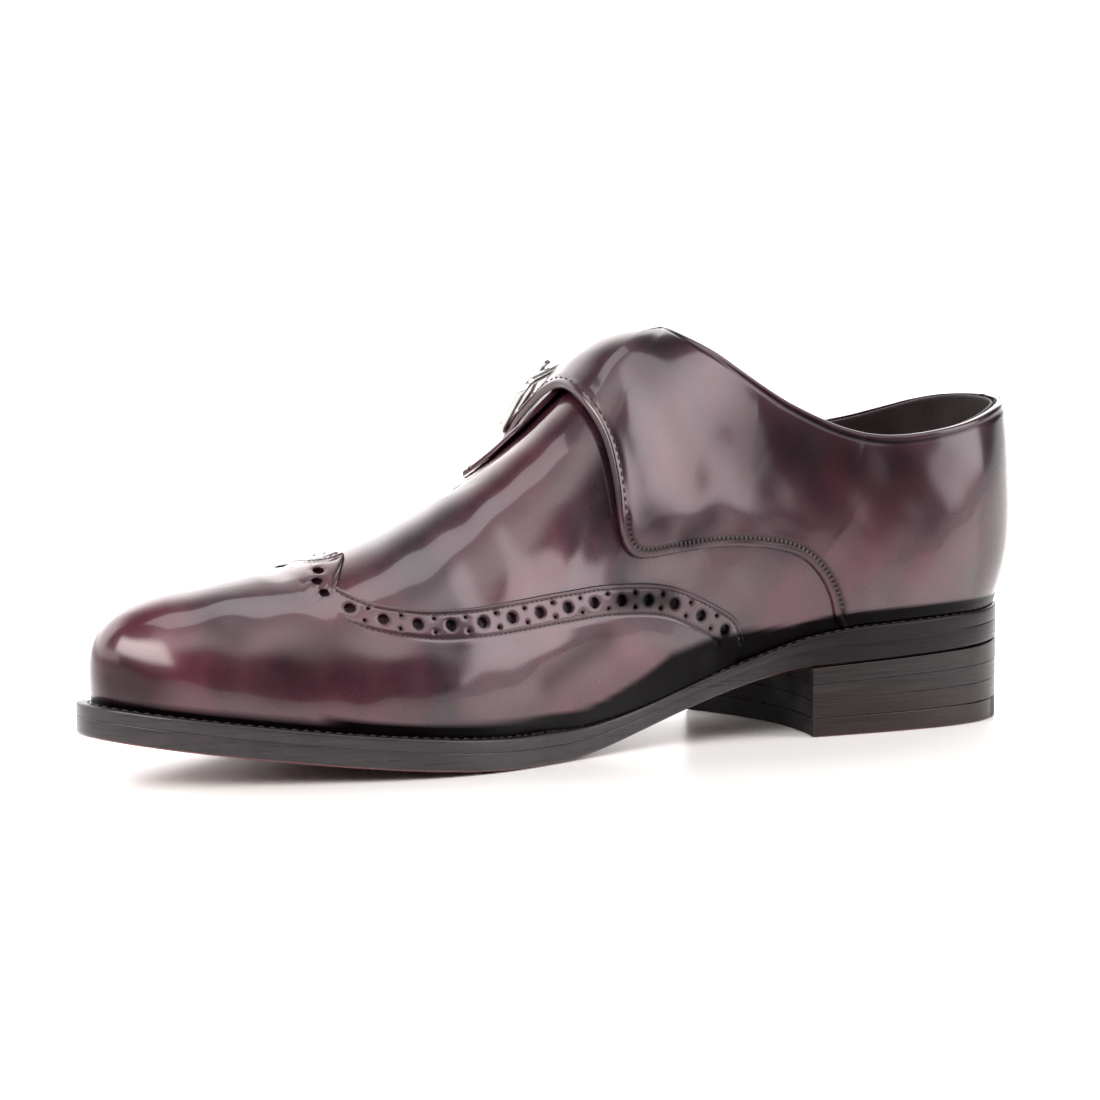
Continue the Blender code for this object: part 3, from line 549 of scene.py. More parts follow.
def put(name, points, faces, finish, slot, marks=None, nodes=(), weld=False, sharp=0.9, second=None, picks=None):
    """A piece of the shoe from points in the heel's frame. marks are named values per point for its material."""
    points, marks = np.asarray(points, float).reshape(-1, 3), dict(marks or {})
    if weld:
        points, faces, marks, kept = welded(points, faces, marks)
        picks = None if picks is None else [picks[k] for k in kept]
    points = points - (*CENTRE, 0.0)
    faces = facing_out(points, faces)
    mesh = bpy.data.meshes.new(name)
    mesh.from_pydata(points.tolist(), [], [list(map(int, f)) for f in faces])
    for key, mark in marks.items():
        layer = mesh.attributes.new(key, "FLOAT", "POINT")
        layer.data.foreach_set("value", np.asarray(mark, np.float32).reshape(-1))
    mesh.materials.append(finish)
    if second is not None:
        mesh.materials.append(second)
        mesh.polygons.foreach_set("material_index", np.asarray(picks, np.int32))
    mesh.shade_smooth()
    mesh.set_sharp_from_angle(angle=sharp)
    mesh.validate()
    piece = bpy.data.objects.new(name, mesh)
    bpy.context.scene.collection.objects.link(piece)
    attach(piece, "root")
    if nodes:
        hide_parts(*nodes)
    return piece


def lattice(rows, columns, wrap=False):
    """Faces of a grid of points, facing outwards for sheets on the last."""
    i = np.arange(rows if wrap else rows - 1)[:, None]
    k = np.arange(columns - 1)[None]
    j = (i + 1) % rows
    cells = np.stack([i * columns + k, j * columns + k, j * columns + k + 1, i * columns + k + 1], -1)
    return cells.reshape(-1, 4)


def thickened(top, bottom, faces):
    """A closed body between two sheets that share their faces."""
    top, bottom = top.reshape(-1, 3), bottom.reshape(-1, 3)
    count = len(top)
    ends = np.concatenate([faces[:, [k, (k + 1) % 4]] for k in range(4)])
    key = np.sort(ends, axis=1)
    _, index, uses = np.unique(key, axis=0, return_inverse=True, return_counts=True)
    rim = ends[uses[index.reshape(-1)] == 1]
    walls = np.stack([rim[:, 1], rim[:, 0], rim[:, 0] + count, rim[:, 1] + count], -1)
    under = faces[:, ::-1] + count
    used = np.zeros(2 * count, bool)
    every = np.concatenate([faces, under, walls])
    used[every.reshape(-1)] = True
    number = np.cumsum(used) - 1
    return np.concatenate([top, bottom])[used], number[every], used


def nearest(points, path):
    """Distance from each point to a path of points."""
    shape, points = points.shape[:-1], points.reshape(-1, 3)
    a, b = path[:-1], path[1:]
    run = b - a
    size = np.maximum((run**2).sum(1), 1e-18)
    best = np.full(len(points), 1e9)
    for start in range(0, len(points), 4000):
        part = points[start:start + 4000, None]
        t = np.clip(((part - a) * run).sum(-1) / size, 0, 1)
        gap = ((part - a - t[..., None] * run)**2).sum(-1)
        best[start:start + 4000] = np.sqrt(gap.min(1))
    return best.reshape(shape)


def lengths(points):
    """Running length along the last axis but one of an array of points."""
    step = np.linalg.norm(np.diff(points, axis=-2), axis=-1)
    return np.concatenate([np.zeros((*step.shape[:-1], 1)), np.cumsum(step, -1)], -1)


def rung_sheet(start, end, near_start, near_end, middle):
    """Rungs of points between two edges given as (s, t) pairs, with fine steps beside each edge.

    Returns s, t and the distance from each edge along the rung."""
    u = np.linspace(0, 1, 60)[None]
    s = start[:, :1] + (end[:, :1] - start[:, :1]) * u
    t = start[:, 1:] + (end[:, 1:] - start[:, 1:]) * u
    run = lengths(surface(s, t))
    total = run[:, -1:]
    low, high = np.array(near_start), np.array(near_end)
    squeeze = np.minimum(1, total / (1.25 * (low[-1] + high[-1]) + 1e-9))
    core = np.linspace(0, 1, middle + 2)[None, 1:-1]
    left, right = low[None] * squeeze, total - high[None, ::-1] * squeeze
    inner = left[:, -1:] + (right[:, :1] - left[:, -1:]) * core
    at = np.concatenate([left, inner, right], 1)
    share = np.stack([np.interp(at[k], run[k], u[0]) for k in range(len(at))])
    s = start[:, :1] + (end[:, :1] - start[:, :1]) * share
    t = start[:, 1:] + (end[:, 1:] - start[:, 1:]) * share
    return s, t, at, total - at


def inwards(s, t, toward):
    """Steps in (s, t) for one metre across an edge, on the side given by a sample of inner (s, t) points."""
    ds, dt = np.gradient(s), np.gradient(t)
    d = 1e-4
    along_s = (surface(s + d, t) - surface(s - d, t)) / (2 * d)
    climb = (surface(s, t + d) - surface(s, np.maximum(t - d, 0))) / (t + d - np.maximum(t - d, 0))[:, None]
    tangent = along_s * ds[:, None] + climb * dt[:, None]
    tangent /= np.linalg.norm(tangent, axis=1, keepdims=True)
    normal = np.cross(along_s, climb)
    normal /= np.linalg.norm(normal, axis=1, keepdims=True)
    side = np.cross(normal, tangent)
    solve = np.stack([along_s, climb], -1)
    step = np.stack([np.linalg.lstsq(solve[k], side[k], rcond=None)[0] for k in range(len(s))])
    inner = along_s * (toward[0] - s)[:, None] + climb * (toward[1] - t)[:, None]
    return step * np.sign((inner * side).sum(1))[:, None]


def tube_faces(rings, count, start=0, closed=False, turned=False):
    """Faces between rings of points that follow each other; turned makes them face the other way."""
    faces = []
    for r in range(rings if closed else rings - 1):
        a, b = start + r * count, start + (r + 1) % rings * count
        for k in range(count):
            q = (k + 1) % count
            faces.append([a + k, a + q, b + q, b + k] if turned else [a + k, b + k, b + q, a + q])
    return faces


def beads(path, normals, pitch, size, radius, sink, flat=1.0):
    """Stitches along a path: short rounded threads whose ends dip into the leather.

    flat is their height over their width."""
    run = lengths(path)
    count = max(int(run[-1] / pitch), 1)
    centres = (np.arange(count) + 0.5) * run[-1] / count
    ring = np.array([-1.0, -0.62, 0.0, 0.62, 1.0])
    wide = np.array([0.30, 0.86, 1.0, 0.86, 0.30]) * radius
    drop = np.array([1.0, 0.30, 0.0, 0.30, 1.0]) * -sink
    turn = 2 * pi * np.arange(6) / 6
    at = centres[:, None] + ring[None] * size / 2
    spot = np.stack([np.interp(at, run, path[:, k]) for k in range(3)], -1)
    up = np.stack([np.interp(at, run, normals[:, k]) for k in range(3)], -1)
    up /= np.linalg.norm(up, axis=-1, keepdims=True)
    tangent = spot[:, -1] - spot[:, 0]
    tangent = (tangent / np.linalg.norm(tangent, axis=1, keepdims=True))[:, None]
    side = np.cross(tangent, up)
    core = spot + up * drop[None, :, None]
    loop = (core[:, :, None] + side[:, :, None] * (wide[None, :, None] * np.cos(turn))[..., None]
            + up[:, :, None] * (wide[None, :, None] * flat * np.sin(turn))[..., None])
    points = loop.reshape(-1, 3)
    faces = []
    for base in range(0, 30 * count, 30):
        faces += tube_faces(5, 6, base, turned=True)
        faces.append([base + k for k in (5, 4, 3, 2, 1, 0)])
        faces.append([base + 24 + k for k in range(6)])
    return points, faces


def joined(parts):
    """Several sets of points and faces as one."""
    points, faces, start = [], [], 0
    for p, f in parts:
        points.append(p)
        faces += [[v + start for v in face] for face in f]
        start += len(p)
    return np.concatenate(points), faces


def rolled(distance, radius, least=0.0):
    """A quarter-round from an edge inwards, from least to 1."""
    x = 1 - np.clip(distance / radius, 0, 1)
    return least + (1 - least) * np.sqrt(np.clip(1 - x * x, 0, 1))


def dip(distance, at, wide):
    return np.exp(-((distance - at) / wide)**2)


def shade_at_foot(s, t):
    """Painted shade where the upper meets the welt, widest at the waist, where it also paints a dark reflection."""
    along = (1 - np.cos(s)) / 2
    return 1 - ease(t / np.interp(along, DARK_FOOT[:, 0], DARK_FOOT[:, 1]), 0.84, 1.10)


def make_vamp(holes):
    """The vamp and tongue, and what lies under the quarters: a skin up to the topline, with painted shade under the
    holes.
    """
    s = np.linspace(0, 2 * pi, 481)[:-1]
    top = top_edge(s) - 0.012 * (top_edge(s) < 0.9999)
    share = 1 - (1 - np.linspace(0, 1, 91))**1.15
    t = share[None] * top[:, None]
    s = np.repeat(s[:, None], t.shape[1], 1)
    outer = on_last(s, t)
    inner = on_last(s, t, np.full(t.shape, -SKIN))
    faces = lattice(*t.shape, wrap=True)
    points, faces, used = thickened(outer, inner, faces)
    place = surface(s, t).reshape(-1, 3)
    # painted shade under the wing's holes and at the foot, with the painted dark reflections
    under = np.exp(-(np.linalg.norm(place[:, None] - holes[None], axis=-1).min(1) / 0.0026)**2)
    dark = np.tile(np.clip(shade_at_foot(s, t).reshape(-1) + under + painted_dark_reflection(place), 0, 1), 2)[used]
    put("vamp", points, faces, burgundy, "burgundy_leather", {"dark": dark}, ["upper"], weld=True)


def make_lining():
    """The lining inside the collar, its top edge level with the quarters' rolled edge."""
    s = np.linspace(0, 2 * pi, 301)[:-1]
    top = top_edge(s)
    u = np.linspace(0, 1, 46)
    t = 0.02 + (top[:, None] - 0.02) * (1 - (1 - u[None])**1.4)
    s2 = np.repeat(s[:, None], t.shape[1], 1)
    gap = lengths(surface(s2, t))
    gap = gap[:, -1:] - gap
    closing = 0.0005 * (1 - rolled(gap, 0.0007))
    outer = on_last(s2, t, LINING_OUT - closing)
    inner = on_last(s2, t, LINING_IN + 0.4 * closing)
    points, faces, _ = thickened(outer, inner, lattice(*t.shape, wrap=True))
    put("lining", points, faces, lining_look, "dark_lining", weld=True)


def wing_rows():
    """The wing cap's rungs: top (edge, or the seam that its two sides share) and foot, each as (s, t)."""
    sides = []
    for table, side in ((WING_LATERAL, -1), (WING_MEDIAL, 1)):
        rows = smooth_rows(table, WING_EDGE_ROWS, side)
        rows[-1] = table[-1]
        over = 1 - (1 - np.linspace(0, 1, 71)[1:]**1.35)**2
        welt = table[-1, 0] + (1 - table[-1, 0]) * over
        seam = table[-1, 1] + (1 - table[-1, 1]) * over
        up = np.interp(seam, WING_SEAM[:, 0], WING_SEAM[:, 1])
        rows = np.concatenate([rows, np.stack([welt, seam, up if side > 0 else 2 - up], -1)])
        top = np.stack([angle_of(rows[:, 1], side), rows[:, 2]], -1)
        foot = np.stack([angle_of(rows[:, 0], side), np.full(len(rows), FOOT)], -1)
        sides.append((top, foot))
    return sides


def contour(distance, level, *grids):
    """Grids read along a path at a distance inside an edge, at one point of each rung that starts nearer than that."""
    past = distance > level
    k = past.argmax(1)
    rows = np.where(past.any(1) & (k > 0))[0]
    k = k[rows]
    f = (level - distance[rows, k - 1]) / (distance[rows, k] - distance[rows, k - 1])
    return [grid[rows, k - 1] + (grid[rows, k] - grid[rows, k - 1]) * f for grid in grids]


def at_runs(s, t, runs, off=0.0):
    """Places at given lengths along a path, counted both ways from its point nearest the middle of the peak."""
    place = surface(s, t)
    run = lengths(place)
    middle = surface(angle_of(PEAK_HOLE[0], 1), PEAK_HOLE[1])
    at = run[int(np.linalg.norm(place - middle, axis=1).argmin())] + np.array(runs)
    at = at[(at > 0) & (at < run[-1])]
    k = np.clip(np.searchsorted(run, at), 1, len(s) - 1)
    f = (at - run[k - 1]) / np.maximum(run[k] - run[k - 1], 1e-9)
    f = np.where(np.abs(s[k] - s[k - 1]) < 0.5, f, np.round(f))
    s, t = np.stack([s, t]) + off
    return s[k - 1] + (s[k] - s[k - 1]) * f, t[k - 1] + (t[k] - t[k - 1]) * f


def punch(points, faces, normals, centres, radii):
    """Round holes through a fine lattice: faces inside go, and the points around take the circle."""
    middle = points[faces].mean(1)
    gone = np.zeros(len(faces), bool)
    near_hole = np.full(len(points), 1.0)
    moved = points.copy()
    for centre, normal, radius in zip(centres, normals, radii):
        close = np.where(np.abs(middle - centre).max(1) < 0.004)[0]
        off = middle[close] - centre
        off -= (off @ normal)[:, None] * normal
        inside = close[np.linalg.norm(off, axis=1) < radius * 0.94]
        if len(inside) < 1:
            continue
        gone[inside] = True
        rest = np.setdiff1d(close, inside)
        rim = np.intersect1d(faces[inside].reshape(-1), faces[rest].reshape(-1))
        out = points[rim] - centre
        level = (out @ normal)[:, None] * normal
        flat = out - level
        moved[rim] = centre + level + flat * (radius / np.linalg.norm(flat, axis=1, keepdims=True))
        spots = np.unique(faces[close].reshape(-1))
        gap = points[spots] - centre
        gap = np.linalg.norm(gap - (gap @ normal)[:, None] * normal, axis=1) - radius
        near_hole[spots] = np.minimum(near_hole[spots], np.abs(gap))
    return moved, faces[~gone], near_hole


def is_sound(hole, slant, distance):
    """Round the peak the rungs run slantwise: small holes stay out of it, and so do large ones off their row."""
    if hole[2] == SMALL_RADIUS:
        return slant < 0.0006
    return hole[0] > pi or (slant < 0.0025 and abs(distance - HOLE_ROW) < 0.0008)


def make_wing():
    """The wing cap with its holes, grooves and threads; returns the large holes' places."""
    sides = wing_rows()
    near = [0, 0.00012, 0.0003, 0.00055, 0.0009] + list(np.arange(0.00135, 0.0101, 0.00047))
    sheets = []
    for k, (top, foot) in enumerate(sides):
        s, t, gap, _ = rung_sheet(top, foot, near, [0, 0.0004, 0.001], 18)
        sheets.append((s, t, gap) if k == 0 else (s[-2::-1], t[-2::-1], gap[-2::-1]))
    s, t, gap = (np.concatenate([a, b]) for a, b in zip(*sheets))
    rows, columns = s.shape
    # rungs run from the edge down to the welt, so the faces are turned to face outwards
    faces = lattice(rows, columns)[:, ::-1]
    base = surface(s, t).reshape(-1, 3)
    edge = np.concatenate([sides[0][0][:WING_EDGE_ROWS], sides[1][0][WING_EDGE_ROWS - 1::-1]])
    line = surface(edge[:, 0], edge[:, 1])
    distance = nearest(base, line)
    spread_out = distance.reshape(rows, columns)
    normal = outward(s, t).reshape(-1, 3)
    steps = HOLE_FLANK + HOLE_PITCH * np.arange(30)
    path = np.stack(contour(spread_out, HOLE_ROW, s, t))
    holes = [(s1, t1, HOLE_RADIUS) for s1, t1 in zip(*at_runs(*path, [*-steps[::-1], 0.0, *steps]))]
    between = steps + HOLE_PITCH / 2
    across = inwards(*path, (angle_of(0.72, 1), 0.2)).T
    across[:, np.abs(np.gradient(path[0])) > 0.5] = 0
    for off in (-SMALL_APART, SMALL_APART):
        pairs = at_runs(*path, [*-between[::-1], *between], across * off)
        holes += [(s1, t1, SMALL_RADIUS) for s1, t1 in zip(*pairs)]
    slant = np.abs(gap.reshape(-1) - distance)
    at_hole = [np.linalg.norm(base - surface(h[0], h[1]), axis=1).argmin() for h in holes]
    holes = [h for h, k in zip(holes, at_hole) if h[1] > 0.07 and is_sound(h, slant[k], distance[k])]
    hole_s, hole_t, radii = (np.array(column) for column in zip(*holes))
    spots = surface(hole_s, hole_t)
    flat, kept, near_hole = punch(base, faces, outward(hole_s, hole_t), spots, radii)
    height = WING_LIFT + WING_THICK * (0.62 + 0.38 * rolled(distance, 0.0007))
    # the grooves fade where the rungs run slantwise round the peak, too coarse there for such fine lines
    fine = 1 - ease(slant, 0.0004, 0.0016)
    grooved = [fine * dip(distance, at, wide) for at, wide in zip(WING_STITCH, (0.0004, 0.0005))]
    height -= 0.00028 * (grooved[0] + grooved[1])
    height += WING_SWELL * ease(distance, BAND + 0.0002, BAND + 0.009) - 0.00018 * np.exp(-(near_hole / 0.00035)**2)
    slope = relief(base)
    upper_face = flat + (slope + height)[:, None] * normal
    lower_face = flat + (slope + WING_LIFT * 0.3)[:, None] * normal
    # painted shade: near-black along the cut edge, round the holes, in the stitch grooves and at the foot, with the
    # painted dark reflections; the underside is dark all over, so the hole walls darken downwards
    dark = np.clip(1.1 - distance / 0.0006, 0, 1) + 0.55 * np.exp(-(near_hole / 0.0005)**2)
    dark += 0.5 * (grooved[0] + grooved[1])
    dark += shade_at_foot(s, t).reshape(-1) + painted_dark_reflection(base)
    points, shut, used = thickened(upper_face, lower_face, kept)
    below = np.concatenate([np.zeros(len(base)), np.ones(len(base))])[used]
    # band: the holed strip, which the material paints lighter and greyer as a painted sheen of its flat face
    marks = {"dark": np.clip(np.tile(dark, 2)[used] + below, 0, 1),
             "band": np.tile(np.clip(1 - (distance - BAND) / 0.0012, 0, 1), 2)[used]}
    put("wing_cap_skin", points, shut, burgundy, "burgundy_leather", marks, ["wing_cap"], weld=True, sharp=0.75)
    threads = []
    for level, low in zip(WING_STITCH, (0.05, 0.16)):
        path_s, path_t, off = contour(spread_out, level, s, t, slant.reshape(rows, columns))
        keep = (path_t > low) & ((off < 0.0010) | ((path_s > pi) & (level < BAND / 2)))
        level_at = WING_LIFT + WING_THICK - 0.00014
        threads.append(thread_on(path_s[keep], path_t[keep], level_at, 0.0017, 0.00128, 0.00024))
    put("wing_threads", *joined(threads), thread_look, "burgundy_leather")
    return spots[radii == HOLE_RADIUS]


def forward_only(place):
    """Which points of a path to keep so that it never turns back on itself."""
    kept = [0]
    for k in range(1, len(place)):
        step = place[k] - place[kept[-1]]
        last = place[kept[-1]] - place[kept[-2]] if len(kept) > 1 else step
        size = np.linalg.norm(step)
        if size > 0.004 or (size > 0.0003 and step @ last > 0.3 * size * np.linalg.norm(last)):
            kept.append(k)
    return np.array(kept)


def thread_on(s, t, height, pitch, size, radius=THREAD, flat=1.0):
    """Stitches over the last along a path of (s, t), split where the path jumps."""
    place, normal = on_last(s, t, height), outward(s, t)
    kept = forward_only(place)
    place, normal = place[kept], normal[kept]
    step = np.linalg.norm(np.diff(place, axis=0), axis=1)
    cuts = [0, *(np.where(step > 0.006)[0] + 1), len(place)]
    parts = []
    for a, b in zip(cuts[:-1], cuts[1:]):
        if b - a > 6:
            place[a + 2:b - 2] = sum(place[a + k:b - 4 + k] for k in range(5)) / 5
        if b - a > 3 and lengths(place[a:b])[-1] > 2 * pitch:
            parts.append(beads(place[a:b], normal[a:b], pitch, size, radius, radius * 1.2 * flat, flat))
    return joined(parts)


def quarter_edges(rows, side):
    """The front and the top edge of a quarter as (s, t)."""
    low, high = angle_of(np.clip(rows[:, 0], 0, 1), side), angle_of(np.clip(rows[:, 2], 0, 1), side)
    if side > 0:
        low, high = np.minimum(low, 2 * pi - SEAM), np.minimum(high, 2 * pi - SEAM)
    else:
        low, high = np.maximum(low, SEAM), np.maximum(high, SEAM)
    top = np.where(rows[:, 3] > 1.001, rows[:, 3], np.minimum(rows[:, 3], 1) * top_edge(high))
    return np.stack([low, np.clip(rows[:, 1], FOOT, None)], -1), np.stack([high, top], -1)


def make_quarter(name, node, table, side, count):
    """One quarter with its threads; returns the points of its outer face."""
    rows = smooth_rows(table, count, side)
    front, top = quarter_edges(rows, side)
    near_front = [0, 0.0001, 0.00025, 0.0005, 0.0008, 0.0012, 0.0016, 0.0020, 0.0025, 0.0030, 0.0036, 0.0043, 0.0052]
    near_top = [0, 0.0001, 0.00025, 0.0005, 0.0008, 0.0012, 0.0016, 0.0021, 0.0026, 0.0032, 0.0040]
    s, t, from_front, from_top = rung_sheet(front, top, near_front, near_top, 24)
    base = surface(s, t)
    open_front = front[front[:, 1] > FOOT + 1e-6]
    line = surface(open_front[:, 0], open_front[:, 1])
    d_front, d_back, d_end = (nearest(base, path) for path in (line, base[0], base[-1]))
    edge = np.minimum(np.minimum(d_front, from_top), d_end)
    u = np.linspace(0, 1, s.shape[1])[None]
    share = from_front / (from_front + from_top)
    lift = (rows[:, 4:5] + (rows[:, 5:6] - rows[:, 4:5]) * share) / 1000
    lift = np.maximum(lift - 0.0009, 0.0) + 0.00012
    if side > 0:
        lift = lift + STRAP_ARCH * np.sin(pi * share)**1.3 * (ease(t, 0.62, 0.95) * (1 - ease(t, 1.10, 1.32)))
    thick = np.maximum(rows[:, 6:7] / 1000 + 0.0001, QUARTER_THICK) * np.ones_like(u)
    roll = rolled(edge, QUARTER_ROLL * (thick / QUARTER_THICK)**0.5, 0.12)
    groove = 0.00022 * (dip(d_front, QUARTER_STITCH, 0.0006) + dip(from_top, COLLAR_STITCH, 0.0005))
    seam = 0.0006 * dip(d_back, 0.0, 0.0006)
    puff = 0.00025 * ease(d_front, 0.0045, 0.012)
    upper_face = on_last(s, t, lift + thick * roll - groove - seam + puff)
    lower_face = on_last(s, t, lift + 0.30 * thick * (1 - roll) * (lift > 0.0008))
    faces = lattice(*s.shape)
    if side > 0:
        faces = faces[:, ::-1]
    points, shut, used = thickened(upper_face, lower_face, faces)
    # painted shade along the edge, in the stitch grooves, at the back seam and at the foot, with the painted dark
    # reflections
    dark = np.clip(1 - edge / 0.0009, 0, 1) * 0.2 + 0.75 * dip(d_front, QUARTER_STITCH, 0.0012) * (t < BARS_TOP)
    dark += 0.4 * dip(from_top, COLLAR_STITCH, 0.0006) + 0.7 * dip(d_back, 0.0, 0.0008)
    dark += shade_at_foot(s, t) + painted_dark_reflection(base)
    marks = {"dark": np.clip(np.tile(dark.reshape(-1), 2)[used], 0, 1)}
    put(name, points, shut, burgundy, "burgundy_leather", marks, [node], weld=True, sharp=1.0)
    height = lift + thick
    path_s, path_t, wall = contour(d_front, QUARTER_STITCH, s, t, height)
    bars, plain = (path_t > 0.04) & (path_t < BARS_TOP), (path_t > BARS_TOP) & (path_t < 1.45)
    stitched = [thread_on(path_s[bars], path_t[bars], wall[bars] - 0.00012, 0.0015, 0.0011, 0.00105, 0.34),
                thread_on(path_s[plain], path_t[plain], wall[plain] - 0.00008, 0.0024, 0.0019, 0.00030)]
    back = (rows[:, 3] <= 1.001) & (rows[:, 3] > 0.9)
    turned = [grid[back, ::-1] for grid in (from_top, s, t, height)]
    path_s, path_t, wall = contour(turned[0], COLLAR_STITCH, *turned[1:])
    stitched.append(thread_on(path_s, path_t, wall - 0.00012, 0.0022, 0.0017, 0.00024))
    put(name + "_threads", *joined(stitched), thread_look, "burgundy_leather")
    return upper_face.reshape(-1, 3)


def make_tab():
    """The small tab over the back seam, with its stitches."""
    s = np.linspace(-0.125, 0.125, 49)
    u = np.linspace(0, 1, 37)[None]
    top = top_edge(s)
    narrow = 1 - 0.45 * (1 - u)**2.2
    turned = s[:, None] * narrow
    low = 0.80 + 0.03 * (np.abs(s[:, None]) / 0.125)**2
    t = top[:, None] * (low + (1 - low) * u)
    base = surface(turned, t)
    border = np.concatenate([base[0], base[:, -1], base[-1, ::-1], base[::-1, 0]])
    edge = nearest(base, border)
    under = QUARTER_THICK + 0.0001 - 0.0008 * dip(lengths(base)[:, -1:] - lengths(base), 0.0, 0.0006)
    upper_face = on_last(turned, t, under + 0.0009 * rolled(edge, 0.0008, 0.1) - 0.00015 * dip(edge, 0.0017, 0.0004))
    lower_face = on_last(turned, t, np.full(t.shape, QUARTER_THICK - 0.0003))
    points, shut, used = thickened(upper_face, lower_face, lattice(*t.shape))
    # painted shade along the tab's edge
    dark = np.tile((np.clip(1 - edge / 0.0008, 0, 1) * 0.6).reshape(-1), 2)[used]
    put("back_tab", points, shut, burgundy, "burgundy_leather", {"dark": dark}, ["heel_tab"], weld=True)
    k = 6
    path_s = np.concatenate([turned[k, ::-1][:-3], turned[k:-k, 3], turned[-k - 1][3:]])
    path_t = np.concatenate([t[k, ::-1][:-3], t[k:-k, 3], t[-k - 1][3:]])
    put("tab_threads", *thread_on(path_s, path_t, QUARTER_THICK + 0.0009, 0.0022, 0.0017), thread_look,
        "burgundy_leather")


def ring(s, inset, height):
    x, y = outline(s, inset)
    return np.stack([x, y, height(x) if callable(height) else np.full(x.shape, height)], -1)


def banded(loops, closed):
    """Faces between loops of points that go round the foot; closed joins the last to the first."""
    n, m = len(loops[0]), len(loops)
    r = np.arange(m if closed else m - 1)[:, None]
    k = np.arange(n)[None]
    q, j = (r + 1) % m, (k + 1) % n
    return np.stack([r * n + j, r * n + k, q * n + k, q * n + j], -1).reshape(-1, 4)


def heel_darkening(points):
    """The edge over the heel is darker, nearly black, fading out along the waist."""
    return 0.8 * (1 - ease(points[:, 0], BREAST * LENGTH - 0.010, BREAST * LENGTH + 0.040))


def make_welt():
    """The welt's strip, notched between its stitches, and the stitches."""
    s = 2 * pi * np.arange(1260) / 1260
    around_run = lengths(np.append(ring(s, 0.0, 0.0), ring(s[:1], 0.0, 0.0), 0))[:-1]
    tick = np.abs(np.mod(around_run / WELT_PITCH, 1) - 0.5) * 2
    notch = np.exp(-((1 - tick) / 0.22)**2)
    steps = [(0.0105, 0.0), (0.0060, 0.0), (0.0010, 0.0), (0.00014, 0.00001), (0.00004, 0.00012), (0.0, 0.0003),
             (0.0, 0.5), (0.0, -0.0009), (0.0001, -0.0004), (0.0004, -0.0001), (0.0008, 0.00002), (0.0014, 0.0),
             (0.0021, 0.0), (0.0028, 0.0), (0.0036, 0.0), (0.0048, 0.0), (0.0065, 0.0), (0.0105, 0.0)]
    loops, tops = [], []
    for k, (inset, rise) in enumerate(steps):
        at_x, at_y = outline(s, inset)
        lo, hi = outsole_top(at_x) + 0.00003, welt_top(at_x)
        z = lo + rise if k < 6 else (lo + (hi - lo) / 2 if rise == 0.5 else hi + rise)
        if k > 9:
            z = z - 0.00014 * notch * np.exp(-((inset - 0.0022) / 0.0014)**2)
        loops.append(np.stack([at_x, at_y, z], -1))
        tops.append(np.full(len(s), 1.0 if k > 8 else 0.0))
    faces = banded(loops, True)
    rim = np.concatenate(loops)
    # the welt's top gets the dark mark: painted shade of the gap under the upper
    put("welt_strip", rim, faces, edge_look, "dark_edge_leather",
        {"dark": np.maximum(np.concatenate(tops) * 0.9, heel_darkening(rim))}, ["welt"], sharp=1.2)
    inset = 0.5 * reach(s) / 1000
    path = ring(s, inset, lambda px: welt_top(px) + 0.00008)
    flat = np.tile([0.0, 0.0, 1.0], (len(s), 1))
    path, flat = np.append(path, path[:1], 0), np.append(flat, flat[:1], 0)
    put("welt_threads", *beads(path, flat, WELT_PITCH, 0.0026, 0.00030, 0.0004, 0.7), welt_thread_look,
        "dark_edge_leather")


